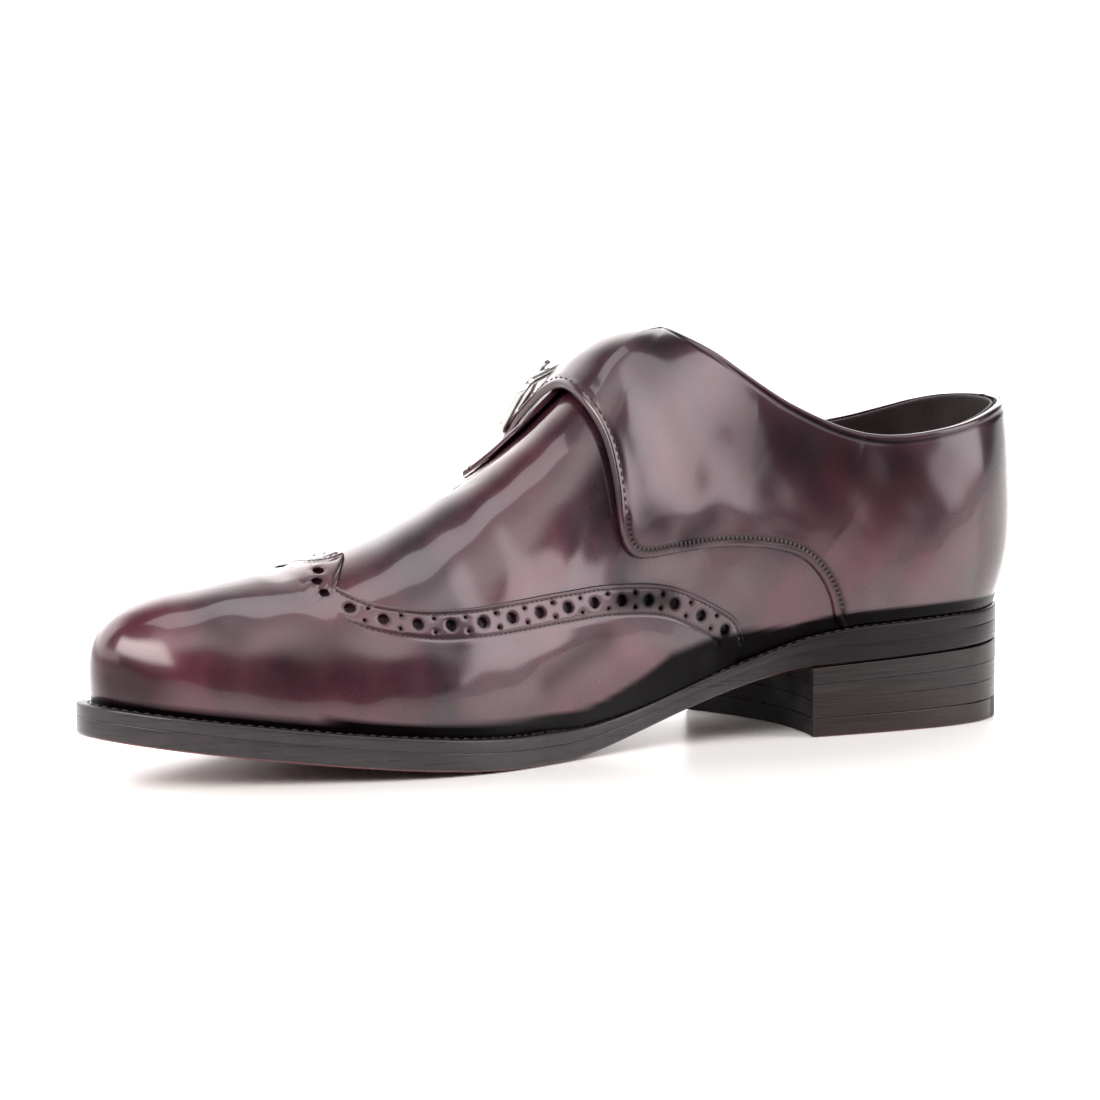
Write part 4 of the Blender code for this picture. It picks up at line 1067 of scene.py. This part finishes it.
def make_outsole():
    """The outsole with its rounded rim and its stitched channel."""
    n = 480
    s = 2 * pi * np.arange(n) / n
    side = [(0.00014, "top", 0.0), (0.00004, "top", -0.00012), (0.0, "top", -0.0003), (0.0, "mid", 0.0),
            (0.0, "low", 0.0016), (0.0001, "low", 0.0010), (0.00045, "low", 0.00045), (0.0010, "low", 0.00012),
            (0.0016, "low", 0.0)]
    loops = []
    for inset, level, off in side:
        x, y = outline(s, inset)
        lo, hi = sole_bottom(x), outsole_top(x)
        z = {"top": hi + off, "mid": (lo + hi) / 2, "low": lo + off}[level]
        loops.append(np.stack([x, y, z], -1))
    insets = [0.0024, 0.0034, 0.0041, 0.0045, 0.0048, 0.0050, 0.0052, 0.0055, 0.0059, 0.0068, 0.0085, 0.0110]
    for inset in insets:
        x, y = outline(s, inset)
        groove = CHANNEL_DEEP * np.exp(-((inset - CHANNEL_IN) / (CHANNEL_WIDE / 2))**4)
        loops.append(np.stack([x, y, sole_bottom(x) + groove * (x > CHANNEL_START * LENGTH)], -1))
    last = loops[-1]
    half = n // 2
    a, c = last[1:half], last[:half:-1]
    across = np.linspace(0, 1, 15)[None, 1:-1, None]
    inner = a[:, None] + (c - a)[:, None] * across
    inner[..., 2] = sole_bottom(inner[..., 0])
    grid = np.concatenate([a[:, None], inner, c[:, None]], 1)
    points = np.concatenate([np.concatenate(loops), grid.reshape(-1, 3)])
    faces = [f[::-1] for f in banded(loops, False).tolist()]
    start = len(loops) * n
    w = grid.shape[1]
    faces += (start + lattice(half - 1, w)).tolist()
    base = (len(loops) - 1) * n
    for k in range(w - 1):
        faces.append([base, start + k, start + k + 1])
        faces.append([base + half, start + (half - 2) * w + k + 1, start + (half - 2) * w + k])
    # the top, hidden under the welt and the insole
    for k in range(half):
        loop = [k, k + 1, (n - k - 1) % n, (n - k) % n]
        faces.append([v for m, v in enumerate(loop) if v not in loop[:m]])
    height = points[:, 2] - sole_bottom(points[:, 0])
    picks = [int(height[f].max() < 0.0008 and points[f, 0].min() > BREAST * LENGTH - 0.012) for f in faces]
    x, y = outline(s)
    rim = np.stack([x, y], -1)
    d = nearest(np.column_stack([points[:, :2], np.zeros(len(points))]),
                np.column_stack([np.append(rim, rim[:1], 0), np.zeros(n + 1)]))
    # painted shade in the channel's groove
    dark = np.exp(-((d - CHANNEL_IN) / 0.0008)**2) * (points[:, 0] > CHANNEL_START * LENGTH)
    marks = {"dark": np.clip(np.maximum(dark, heel_darkening(points)), 0, 1)}
    put("sole", points, faces, edge_look, "dark_edge_leather", marks, ["outsole"],
        weld=True, sharp=0.8, second=sole_look, picks=picks)
    keep = np.sort(s[x > BREAST * LENGTH + 0.004])
    path = ring(keep, CHANNEL_IN, lambda px: sole_bottom(px) + CHANNEL_DEEP * 0.72)
    down = np.tile([0.0, 0.0, -1.0], (len(keep), 1))
    put("sole_threads", *beads(path, down, SOLE_PITCH, 0.0028, 0.00040, 0.0003), channel_look, "oxblood_sole_leather")


def prism(plan, low, high):
    """A body that stands on a plan, between two heights given over x."""
    n = len(plan)
    bottom = np.column_stack([plan, low(plan[:, 0])])
    top = np.column_stack([plan, high(plan[:, 0])])
    faces = [[k, (k + 1) % n, (k + 1) % n + n, k + n] for k in range(n)]
    faces.append(list(range(n - 1, -1, -1)))
    faces.append(list(range(n, 2 * n)))
    return np.concatenate([bottom, top]), faces


def heel_plan(inset):
    """The heel seen from above: the sole's outline, and a breast that is hollowed."""
    corner = angle_of(BREAST, -1)
    s = np.linspace(-corner, corner, OUTLINE_STEPS + 1)
    x, y = outline(s, inset)
    across = np.linspace(-1, 1, 41)[1:-1]
    front_x = x[-1] - BREAST_HOLLOW * (1 - across**2)
    side = np.linspace(y[-1], y[0], 41)[1:-1]
    return np.concatenate([np.stack([x, y], -1), np.stack([front_x, side], -1)])


def cut_plan(plan, start, end, inset):
    """The part of a plan to the left of a line, held off it by inset."""
    along = np.array(end) - np.array(start)
    normal = np.array([-along[1], along[0]]) / np.hypot(*along)
    side = (plan - np.array(start)) @ normal - inset
    kept = []
    for k in range(len(plan)):
        a, b = side[k - 1], side[k]
        if (a < 0) != (b < 0):
            kept.append(plan[k - 1] + (plan[k] - plan[k - 1]) * a / (a - b))
        if b >= 0:
            kept.append(plan[k])
    return np.array(kept)


def bevel(piece, width, segments=3):
    edges = piece.modifiers.new("Edges", "BEVEL")
    edges.width = width
    edges.segments = segments
    edges.limit_method = "ANGLE"
    edges.angle_limit = radians(40)


def make_heel():
    """The lifts, the top piece in leather and rubber, and its nails."""
    def level(share, rise):
        return lambda x: share * sole_bottom(x) + rise

    for lift in range(1, 4):
        plan = heel_plan(0.0001 * (3 - lift))
        shape = prism(plan, level(HEEL_STEPS[lift], 0.00002), level(HEEL_STEPS[lift + 1], -0.00002))
        # the hollowed front faces take a near-black, dull finish: painted shade under the arch
        picks = [int(OUTLINE_STEPS <= k < len(plan)) for k in range(len(shape[1]))]
        bevel(put(f"lift_{lift}", *shape, stack_look, "dark_edge_leather", nodes=[f"heel_lift_{lift}"],
                  second=breast_shade_look, picks=picks), 0.00018, 2)
    plan = heel_plan(0.0002)
    start, end = ((along * LENGTH, across * BALL_WIDTH) for along, across in RUBBER_LINE)
    top, floor = level(HEEL_STEPS[1], -0.00002), level(0.0, 0.0001)
    back = put("top_piece_rubber", *prism(cut_plan(plan, start, end, 0.00008), floor, top), rubber_look, "grey_rubber",
               nodes=["heel_top_rubber"])
    shape = prism(cut_plan(plan, end, start, 0.00008), floor, top)
    sides = [0 if len(f) == 4 else 1 for f in shape[1]]
    front = put("top_piece_leather", *shape, stack_look, "oxblood_sole_leather", nodes=["heel_top_leather"],
                second=sole_look, picks=sides)
    # faces towards the front take the same painted shade
    front.data.materials.append(breast_shade_look)
    for face in front.data.polygons:
        if face.normal.x > 0.6:
            face.material_index = 2
    bevel(back, 0.0004)
    bevel(front, 0.0004)
    nails = []
    for cx, cy in NAIL_GROUPS:
        for turn in (0.3, 2.4, 4.5):
            spot = np.array([cx * LENGTH + NAIL_RING * np.cos(turn), cy * BALL_WIDTH + NAIL_RING * np.sin(turn)])
            nails.append(dome(spot, NAIL_RADIUS, NAIL_RISE))
    put("heel_nails", *joined(nails), brass_look, "polished_silver", sharp=1.4)


def dome(spot, radius, deep):
    """A nail's head, slightly domed, level with the top piece."""
    turn = 2 * pi * np.arange(16) / 16
    points = [np.append(spot, 0.0)]
    for share in (0.5, 0.85, 1.0, 1.0):
        z = deep * share**2 if len(points) < 49 else 0.0008
        across = radius * share
        points += [np.array([spot[0] + across * np.cos(a), spot[1] + across * np.sin(a), z]) for a in turn]
    faces = [[0, 1 + (k + 1) % 16, 1 + k] for k in range(16)]
    faces += tube_faces(4, 16, 1, turned=True)
    faces.append([49 + k for k in range(16)])
    return np.array(points), faces


def make_sock():
    """The insole's cover inside, slightly dished under the heel."""
    n = 200
    s = 2 * pi * np.arange(n) / n
    outer = np.stack(outline(s, (reach(s) + 3.0) / 1000), -1)
    half = n // 2
    a, c = outer[1:half], outer[:half:-1]
    u = np.linspace(0, 1, 25)[None, :, None]
    grid = a[:, None] + (c - a)[:, None] * u
    rise = 0.0010 * (np.abs(2 * u[..., 0] - 1)**3)
    z = welt_top(grid[..., 0]) + 0.0003 + INSOLE_THICK + 0.0004 + rise
    top = np.concatenate([grid, z[..., None]], -1).reshape(-1, 3)
    low = top - (0.0, 0.0, 0.0012)
    points, faces, _ = thickened(top, low, lattice(half - 1, 25)[:, ::-1])
    put("sock", points, faces, lining_look, "dark_lining", nodes=["insole"])


def buckle_axes():
    """A spot on the last under the buckle's centre, and axes: across the strap, down it, out of it."""
    along, up = BUCKLE_SPOT
    s = float(angle_of(along, 1))
    out = outward(s, up)
    down = surface(s, up + 0.05) - surface(s, up - 0.05)
    down = down - out * (down @ out)
    down /= np.linalg.norm(down)
    return surface(s, up), np.cross(down, out), down, out


def seat_on(strap):
    """The gentle curve of the strap under the buckle as (1, x, y, xx, yy) terms, raised until the ring rests on it."""
    centre, across, down, out = buckle_axes()
    x, y, z = ((strap - centre) @ axis for axis in (across, down, out))
    under = (np.abs(x) < BUCKLE_SIZE[0] / 2) & (np.abs(y) < BUCKLE_SIZE[1] / 2) & (z > 0) & (z < 0.012)
    x, y, z = x[under], y[under], z[under]
    terms = np.stack([np.ones_like(x), x, y, x * x, y * y], -1)
    seat = np.linalg.lstsq(terms, z, rcond=None)[0]
    seat[0] += (z - terms @ seat).max() + BUCKLE_CLEAR
    return seat


def tilted(points, seat):
    """Points drawn flat about the buckle's centre, laid on the strap's curve."""
    centre, across, down, out = buckle_axes()
    points = np.asarray(points, float)
    x, y = points[..., 0], points[..., 1]
    rise = points[..., 2] + seat[0] + seat[1] * x + seat[2] * y + seat[3] * x * x + seat[4] * y * y
    return centre + points[..., :1] * across + points[..., 1:2] * down + rise[..., None] * out


def swept(path, section, closed):
    """A section of (sideways, upwards) offsets carried along a path that lies flat."""
    path, section = np.asarray(path, float), np.asarray(section, float)
    n, m = len(path), len(section)
    ahead = np.roll(path, -1, 0) - np.roll(path, 1, 0)
    if not closed:
        ahead[0], ahead[-1] = path[1] - path[0], path[-1] - path[-2]
    ahead[:, 2] = 0
    ahead /= np.linalg.norm(ahead, axis=1, keepdims=True)
    side = np.stack([ahead[:, 1], -ahead[:, 0], 0 * ahead[:, 0]], -1)
    points = path[:, None] + side[:, None] * section[None, :, :1] + np.array([0, 0, 1.0]) * section[None, :, 1:2]
    faces = tube_faces(n, m, closed=closed)
    if not closed:
        faces += [list(range(m)), [(n - 1) * m + k for k in range(m - 1, -1, -1)]]
    return points.reshape(-1, 3), faces


def rounded_box(wide, tall, corner, count=5):
    """A section with rounded corners, as (sideways, upwards) offsets."""
    out = []
    for cx, cy, start in ((1, 1, 0), (-1, 1, 1), (-1, -1, 2), (1, -1, 3)):
        for a in (start + np.linspace(0, 1, count)) * pi / 2:
            out.append((cx * (wide / 2 - corner) + corner * np.cos(a), cy * (tall / 2 - corner) + corner * np.sin(a)))
    return out


def make_buckle(seat):
    """The ring, its tongue, and the leather keeper with the two loops that hold the pin."""
    half_x, half_y = BUCKLE_SIZE[0] / 2 - 0.0014, BUCKLE_SIZE[1] / 2 - 0.0014
    path = [(x, y, 0.0) for x, y in rounded_box(2 * half_x, 2 * half_y, RING_CORNER, 9)]
    points, faces = swept(path, rounded_box(RING_WIDE, RING_TALL, 0.0007), True)
    put("buckle_ring", tilted(points, seat), faces, silver_look, "polished_silver", nodes=["buckle_frame"], sharp=0.8)
    # the tongue's line across the ring, as (down the strap, height)
    pin = np.array([(half_y - 0.0002, 0.0016), (half_y - 0.0020, 0.0020), (half_y - 0.0060, 0.0014), (0.0, 0.0010),
                    (-half_y + 0.0040, 0.0014), (-half_y, 0.0019), (-half_y - 0.0021, 0.0015)])
    fine, at = np.linspace(0, 1, 33), np.linspace(0, 1, len(pin))
    line = np.stack([np.zeros(33), *(np.interp(fine, at, pin[:, k]) for k in range(2))], -1)
    points, faces = swept(line, rounded_box(PIN_WIDE, PIN_TALL, 0.0006, 4), False)
    put("buckle_tongue", tilted(points, seat), faces, silver_look, "polished_silver", nodes=["buckle_pin"], sharp=0.9)
    rows = np.array([[(x, half_y + 0.0030 + 0.0012 * k, -0.0023 - 0.00012 * k)
                      for x in np.linspace(-KEEPER_HALF, KEEPER_HALF, 21)] for k in range(12)])
    fade = np.clip((np.arange(len(rows)) - 7) / 4, 0, 1)[:, None]
    rows[..., 0] *= 1 - 0.35 * fade**2
    low = rows - (0.0, 0.0, KEEPER_THICK)
    points, faces, _ = thickened(tilted(rows, seat), tilted(low, seat), lattice(*rows.shape[:2]))
    parts = [(points, faces.tolist())]
    for x0, x1 in ((-KEEPER_HALF, -0.0016), (0.0016, KEEPER_HALF)):
        loop = [(x, half_y + LOOP_RADIUS * np.sin(a), LOOP_RADIUS * np.cos(a))
                for x in np.linspace(x0, x1, 6) for a in 2 * pi * np.arange(20) / 20]
        ends = [list(range(20)), [100 + k for k in range(19, -1, -1)]]
        parts.append((tilted(loop, seat), tube_faces(6, 20) + ends))
    put("buckle_keeper", *joined(parts), burgundy, "burgundy_leather", nodes=["buckle_chape"], sharp=0.9)


def new_look(name, base, roughness, metal=0.0, coat=0.0, coat_rough=0.1, ior=1.5):
    made = bpy.data.materials.new(name)
    made.use_nodes = True
    tree = made.node_tree
    shader = tree.nodes["Principled BSDF"]
    for key, value in (("Base Color", (*base, 1.0)), ("Roughness", roughness), ("Metallic", metal),
                       ("Coat Weight", coat), ("Coat Roughness", coat_rough), ("IOR", ior)):
        shader.inputs[key].default_value = value
    return made, tree, shader


def plug(tree, socket, value):
    """A value for a socket, or a link to it from another one."""
    if isinstance(value, bpy.types.NodeSocket):
        tree.links.new(value, socket)
    else:
        socket.default_value = value


def add(tree, kind, settings=None, **inputs):
    """A node with settings and inputs; an input is a value, or a socket to link from."""
    node = tree.nodes.new(kind)
    for key, value in (settings or {}).items():
        setattr(node, key, value)
    for key, value in inputs.items():
        plug(tree, node.inputs[key.replace("_", " ")], value)
    return node


def feed(tree, shader, **inputs):
    """Links into the shader's sockets."""
    for key, value in inputs.items():
        tree.links.new(value, shader.inputs[key.replace("_", " ")])


def noise(tree, place, size, detail=4.0, rough=0.55, warp=0.0):
    return add(tree, "ShaderNodeTexNoise", Vector=place, Scale=1 / size, Detail=detail, Roughness=rough,
               Distortion=warp).outputs["Fac"]


def ramp(tree, value, stops, smooth=True):
    node = add(tree, "ShaderNodeValToRGB", Fac=value)
    node.color_ramp.interpolation = "EASE" if smooth else "LINEAR"
    for at, _ in stops[2:]:
        node.color_ramp.elements.new(at)
    for spot, (at, colour) in zip(node.color_ramp.elements, sorted(stops)):
        spot.position = at
        spot.color = (*colour, 1.0)
    return node.outputs["Color"]


def mix(tree, share, first, second):
    node = add(tree, "ShaderNodeMix", {"data_type": "RGBA"}, Factor=share)
    for socket, value in zip(node.inputs[6:8], (first, second)):
        plug(tree, socket, (*value, 1.0) if isinstance(value, tuple) else value)
    return node.outputs[2]


def number(tree, kind, a, b):
    node = add(tree, "ShaderNodeMath", {"operation": kind})
    for socket, value in zip(node.inputs, (a, b)):
        plug(tree, socket, value)
    return node.outputs[0]


def weighed(tree, first, a, second, b):
    """A weighted sum of two values."""
    return number(tree, "ADD", number(tree, "MULTIPLY", first, a), number(tree, "MULTIPLY", second, b))


def less(tree, whole, value, share):
    """A whole less a share of a value."""
    return number(tree, "SUBTRACT", whole, number(tree, "MULTIPLY", value, share))


def spread(tree, value, low, high, to_low, to_high):
    return add(tree, "ShaderNodeMapRange", Value=value, From_Min=low, From_Max=high, To_Min=to_low,
               To_Max=to_high).outputs["Result"]


def marked(tree, name):
    return add(tree, "ShaderNodeAttribute", {"attribute_name": name}).outputs["Fac"]


def here(tree, stretch=(1.0, 1.0, 1.0)):
    place = add(tree, "ShaderNodeTexCoord").outputs["Object"]
    if stretch == (1.0, 1.0, 1.0):
        return place
    return add(tree, "ShaderNodeMapping", Vector=place, Scale=stretch).outputs["Vector"]


def bumped(tree, shader, heights):
    """Bumps in metres, one after the other, into the shader's normal."""
    normal = None
    for height, deep in heights:
        node = add(tree, "ShaderNodeBump", Height=height, Distance=deep, Strength=1.0)
        if normal is not None:
            tree.links.new(normal, node.inputs["Normal"])
        normal = node.outputs["Normal"]
    feed(tree, shader, Normal=normal)


def calf_look():
    """Burgundy calf with a hand-rubbed, mottled wax finish: plum darks, wine-red lights; the dark mark paints shade
    near-black at edges, holes, seams and the upper's foot and paints dark reflections, also dimming the coat and the
    reflections there, and the holed band gets a lighter painted sheen.
    """
    made, tree, shader = new_look("burgundy calf", (0.05, 0.012, 0.018), 0.25, coat=0.9, coat_rough=0.07, ior=1.60)
    place = here(tree)
    dark = marked(tree, "dark")
    broad = noise(tree, place, 0.042, 2.0, 0.5, 0.5)
    mottled = noise(tree, place, 0.011, 3.0, 0.5, 0.2)
    blend = weighed(tree, broad, 0.78, mottled, 0.22)
    colour = ramp(tree, blend, [(0.36, (0.0090, 0.0034, 0.0060)), (0.52, (0.032, 0.0068, 0.0130)),
                                (0.61, (0.052, 0.0088, 0.0185)), (0.72, (0.074, 0.0110, 0.0230))])
    # painted sheen: the holed band is made lighter and greyer
    band = number(tree, "MULTIPLY", marked(tree, "band"), 0.40)
    colour = mix(tree, band, colour, (0.060, 0.030, 0.037))
    # painted shade and painted dark reflections: the dark mark takes the colour to near-black, and below it takes away
    # the coat and most of the reflection
    colour = mix(tree, dark, colour, (0.0014, 0.0009, 0.0011))
    feed(tree, shader, Base_Color=colour, Coat_Weight=less(tree, 0.9, dark, 0.90))
    tint = ramp(tree, dark, [(0.0, (1.0, 0.80, 0.86)), (0.55, (0.30, 0.24, 0.26)), (0.95, (0.0, 0.0, 0.0))],
                smooth=False)
    rough = spread(tree, mottled, 0.3, 0.7, 0.23, 0.32)
    feed(tree, shader, Specular_Tint=tint, Roughness=number(tree, "ADD", rough, number(tree, "MULTIPLY", dark, 0.12)))
    grain = noise(tree, place, 0.0009, 3.0, 0.6)
    waves = noise(tree, place, 0.015, 2.0, 0.5)
    bumped(tree, shader, [(waves, 0.00012), (grain, 0.000014)])
    return made


def edge_finish():
    """Near-black brown waxed edge with fine burnishing lines along the sole."""
    made, tree, shader = new_look("waxed sole edge", (0.018, 0.010, 0.010), 0.30, coat=0.25, coat_rough=0.20)
    place = here(tree, (1.0, 1.0, 22.0))
    lines = noise(tree, place, 0.020, 4.0, 0.6)
    spots = noise(tree, here(tree), 0.006, 4.0, 0.6)
    colour = ramp(tree, weighed(tree, lines, 0.6, spots, 0.4),
                  [(0.35, (0.018, 0.0150, 0.0165)), (0.68, (0.031, 0.0260, 0.0285))])
    # the dark mark: painted shade on the welt's top and in the channel, and the darker heel; it also dims the coat and
    # the reflections
    dark = marked(tree, "dark")
    colour = mix(tree, number(tree, "MULTIPLY", dark, 0.9), colour, (0.004, 0.0035, 0.004))
    feed(tree, shader, Base_Color=colour,
         Specular_Tint=ramp(tree, dark, [(0.0, (0.66, 0.62, 0.64)), (1.0, (0.18, 0.16, 0.17))]),
         Coat_Weight=less(tree, 0.18, dark, 0.16), Roughness=spread(tree, lines, 0.3, 0.7, 0.24, 0.38))
    bumped(tree, shader, [(lines, 0.00004), (noise(tree, here(tree), 0.0008, 3.0, 0.6), 0.00002)])
    return made


def stack_finish():
    """Heel lifts: thin horizontal layers, burnished dark with a brown-red undertone low down."""
    made, tree, shader = new_look("stacked heel", (0.022, 0.012, 0.011), 0.28, coat=0.2, coat_rough=0.18)
    place = here(tree, (1.0, 1.0, 30.0))
    lines = noise(tree, place, 0.028, 5.0, 0.65)
    height = add(tree, "ShaderNodeSeparateXYZ", Vector=here(tree)).outputs["Z"]
    low = spread(tree, height, 0.0, 0.016, 1.0, 0.0)
    colour = ramp(tree, lines, [(0.36, (0.0024, 0.0019, 0.0021)), (0.68, (0.018, 0.0125, 0.0130))])
    colour = mix(tree, number(tree, "MULTIPLY", low, 0.45), colour, (0.020, 0.0055, 0.0058))
    dark = marked(tree, "dark")
    colour = mix(tree, dark, colour, (0.0040, 0.0022, 0.0024))
    feed(tree, shader, Base_Color=colour,
         Specular_Tint=ramp(tree, dark, [(0.0, (0.55, 0.50, 0.51)), (1.0, (0.05, 0.04, 0.04))]),
         Coat_Weight=less(tree, 0.2, dark, 0.18), Roughness=spread(tree, lines, 0.3, 0.7, 0.28, 0.44))
    bumped(tree, shader, [(lines, 0.00012), (noise(tree, here(tree), 0.0007, 3.0, 0.6), 0.00003)])
    return made


def sole_finish():
    """Painted and polished sole leather: oxblood with darker clouds."""
    made, tree, shader = new_look("oxblood sole", (0.17, 0.018, 0.020), 0.24, coat=0.4, coat_rough=0.14)
    place = here(tree)
    clouds = noise(tree, place, 0.050, 4.0, 0.6, 0.8)
    smears = noise(tree, here(tree, (0.35, 1.0, 1.0)), 0.012, 5.0, 0.65, 0.4)
    blend = weighed(tree, clouds, 0.7, smears, 0.3)
    colour = ramp(tree, blend, [(0.34, (0.040, 0.006, 0.008)), (0.64, (0.235, 0.022, 0.024)),
                                (0.48, (0.130, 0.012, 0.014))])
    colour = mix(tree, marked(tree, "dark"), colour, (0.012, 0.005, 0.005))
    feed(tree, shader, Base_Color=colour, Roughness=spread(tree, smears, 0.3, 0.7, 0.18, 0.36))
    bumped(tree, shader, [(noise(tree, place, 0.0012, 4.0, 0.6), 0.00004), (smears, 0.00010)])
    return made


def plain_finish(name, base, rough, grain, deep, coat=0.0, metal=0.0, spread_by=0.35):
    """A finish with a fine grain in colour and height."""
    made, tree, shader = new_look(name, base, rough, metal, coat)
    place = here(tree)
    fine, wide = noise(tree, place, grain, 4.0, 0.6), noise(tree, place, grain * 14, 3.0, 0.5)
    blend = weighed(tree, fine, 0.5, wide, 0.5)
    dark = tuple(c * (1 - spread_by) for c in base)
    light = tuple(min(c * (1 + spread_by), 1) for c in base)
    feed(tree, shader, Base_Color=ramp(tree, blend, [(0.3, dark), (0.7, light)]),
         Roughness=spread(tree, wide, 0.3, 0.7, rough * 0.85, rough * 1.15))
    bumped(tree, shader, [(fine, deep)])
    return made


burgundy = calf_look()
edge_look = edge_finish()
stack_look = stack_finish()
sole_look = sole_finish()
# near-black with little reflection: painted shade on the heel's front under the arch
breast_shade_look = plain_finish("heel front painted shade", (0.0050, 0.0034, 0.0036), 0.7, 0.0009, 0.00004)
breast_shade_look.node_tree.nodes["Principled BSDF"].inputs["Specular IOR Level"].default_value = 0.12
lining_look = plain_finish("dark lining", (0.016, 0.009, 0.010), 0.55, 0.0009, 0.00004)
rubber_look = plain_finish("grey rubber", (0.045, 0.042, 0.046), 0.62, 0.0007, 0.00005)
silver_look = plain_finish("polished silver", (0.52, 0.51, 0.50), 0.20, 0.0030, 0.00001, metal=1.0, spread_by=0.06)
brass_look = plain_finish("brass nails", (0.62, 0.40, 0.20), 0.30, 0.0008, 0.00002, metal=1.0, spread_by=0.2)
thread_look = plain_finish("waxed thread", (0.020, 0.008, 0.010), 0.50, 0.0003, 0.00003)
welt_thread_look = plain_finish("welt thread", (0.030, 0.017, 0.015), 0.50, 0.0003, 0.00003)
channel_look = plain_finish("channel thread", (0.050, 0.018, 0.015), 0.55, 0.0003, 0.00003)


# The room's own light, between its windows
ROOM = (0.050, 0.046, 0.048)
# Windows of light: azimuths from +y towards +x and heights in degrees, softness, strength, tint
WINDOWS = (
    ((-400, 400), (-90, 5), 2, 1.0, (1.0, 1.0, 0.995)),
    ((-400, 400), (66, 120), 8, 1.7, (1.0, 0.975, 0.97)),
    ((-62, 30), (41, 64), 6, 2.1, (1.0, 0.96, 0.95)),
    ((24, 84), (22, 49), 5, 9.0, (1.0, 0.965, 0.93)),
    ((74, 128), (9, 24), 5, 3.0, (1.0, 0.98, 0.96)),
    ((-66, -33), (7, 61), 3, 3.7, (1.0, 0.95, 0.96)),
    ((-185, -118), (8, 60), 8, 3.8, (1.0, 0.98, 0.97)),
    ((118, 185), (8, 60), 8, 3.2, (1.0, 0.98, 0.97)),
)


def stage_floor():
    """A wide pale floor, slightly glossy."""
    n = 96
    turn = 2 * pi * np.arange(n) / n
    points = [(0.0, 0.0, 0.0)] + [(9.0 * np.cos(a), 9.0 * np.sin(a), 0.0) for a in turn]
    faces = [[0, 1 + k, 1 + (k + 1) % n] for k in range(n)]
    mesh = bpy.data.meshes.new("floor")
    mesh.from_pydata(points, [], faces)
    floor = bpy.data.objects.new("floor", mesh)
    bpy.context.scene.collection.objects.link(floor)
    made, tree, shader = new_look("pale floor", (0.86, 0.86, 0.85), 0.30)
    shader.inputs["Specular IOR Level"].default_value = 0.25
    soft = noise(tree, here(tree), 0.5, 2.0, 0.5)
    feed(tree, shader, Base_Color=ramp(tree, soft, [(0.3, (0.85, 0.85, 0.84)), (0.7, (0.88, 0.88, 0.87))]))
    mesh.materials.append(made)


def soft_light(name, place, aim, size, power):
    lamp = bpy.data.lights.new(name, "AREA")
    lamp.shape = "RECTANGLE"
    lamp.size, lamp.size_y = size
    lamp.energy = power
    holder = bpy.data.objects.new(name, lamp)
    holder.location = place
    holder.rotation_euler = (Vector(aim) - Vector(place)).to_track_quat("-Z", "Y").to_euler()
    bpy.context.scene.collection.objects.link(holder)


def soft_step(tree, value, middle, soft):
    """0 below a middle and 1 above it; a negative softness turns it round."""
    return add(tree, "ShaderNodeMapRange", {"interpolation_type": "SMOOTHSTEP"}, Value=value,
               From_Min=middle - soft, From_Max=middle + soft).outputs["Result"]


def window(tree, azimuth, climb, sides, ends, soft):
    """1 inside a range of directions and 0 outside: azimuth from +y towards +x, and sin of the height."""
    turn, lift = radians(soft), soft / 60
    left, right = (soft_step(tree, azimuth, radians(side), by) for side, by in zip(sides, (turn, -turn)))
    low, high = (soft_step(tree, climb, np.sin(radians(end)), by) for end, by in zip(ends, (lift, -lift)))
    return number(tree, "MULTIPLY", number(tree, "MULTIPLY", left, right), number(tree, "MULTIPLY", low, high))


def stage_lights():
    """A dim studio round a white table, with large soft windows; the horizon is pale as a backdrop is."""
    soft_light("over", (-0.10, 0.25, 1.60), (0.0, 0.0, 0.04), (1.0, 0.5), 4.0)
    world = bpy.data.worlds.new("room")
    bpy.context.scene.world = world
    world.use_nodes = True
    tree = world.node_tree
    place = add(tree, "ShaderNodeTexCoord").outputs["Generated"]
    parts = add(tree, "ShaderNodeSeparateXYZ", Vector=place).outputs
    azimuth = number(tree, "ARCTAN2", parts["X"], parts["Y"])
    light = add(tree, "ShaderNodeRGB").outputs[0]
    light.default_value = (*ROOM, 1.0)
    for sides, ends, soft, strength, tint in WINDOWS:
        share = window(tree, azimuth, parts["Z"], sides, ends, soft)
        light = mix(tree, share, light, tuple(strength * c for c in tint))
    tree.links.new(light, tree.nodes["Background"].inputs["Color"])
    tree.nodes["Background"].inputs["Strength"].default_value = 1.0


def stage_camera():
    eye = Vector((1.0609, 1.7432, 0.2949))
    aim = Vector((0.0, 0.0, 0.0560))
    lens = bpy.data.cameras.new("camera")
    lens.lens, lens.sensor_width = 232.0, 36.0
    lens.clip_end = 50
    camera = bpy.data.objects.new("camera", lens)
    camera.location = eye
    camera.rotation_euler = (aim - eye).to_track_quat("-Z", "Y").to_euler()
    bpy.context.scene.collection.objects.link(camera)
    bpy.context.scene.camera = camera


stage_camera()
make_vamp(make_wing())
make_lining()
strap_top = make_quarter("medial_quarter", "quarter_strap", QUARTER_STRAP, 1, 380)
make_quarter("lateral_quarter", "quarter_lateral", QUARTER_LATERAL, -1, 260)
make_tab()
make_welt()
make_outsole()
make_heel()
make_sock()
make_buckle(seat_on(strap_top))
stage_floor()
stage_lights()
bpy.context.scene.view_settings.view_transform = "Standard"
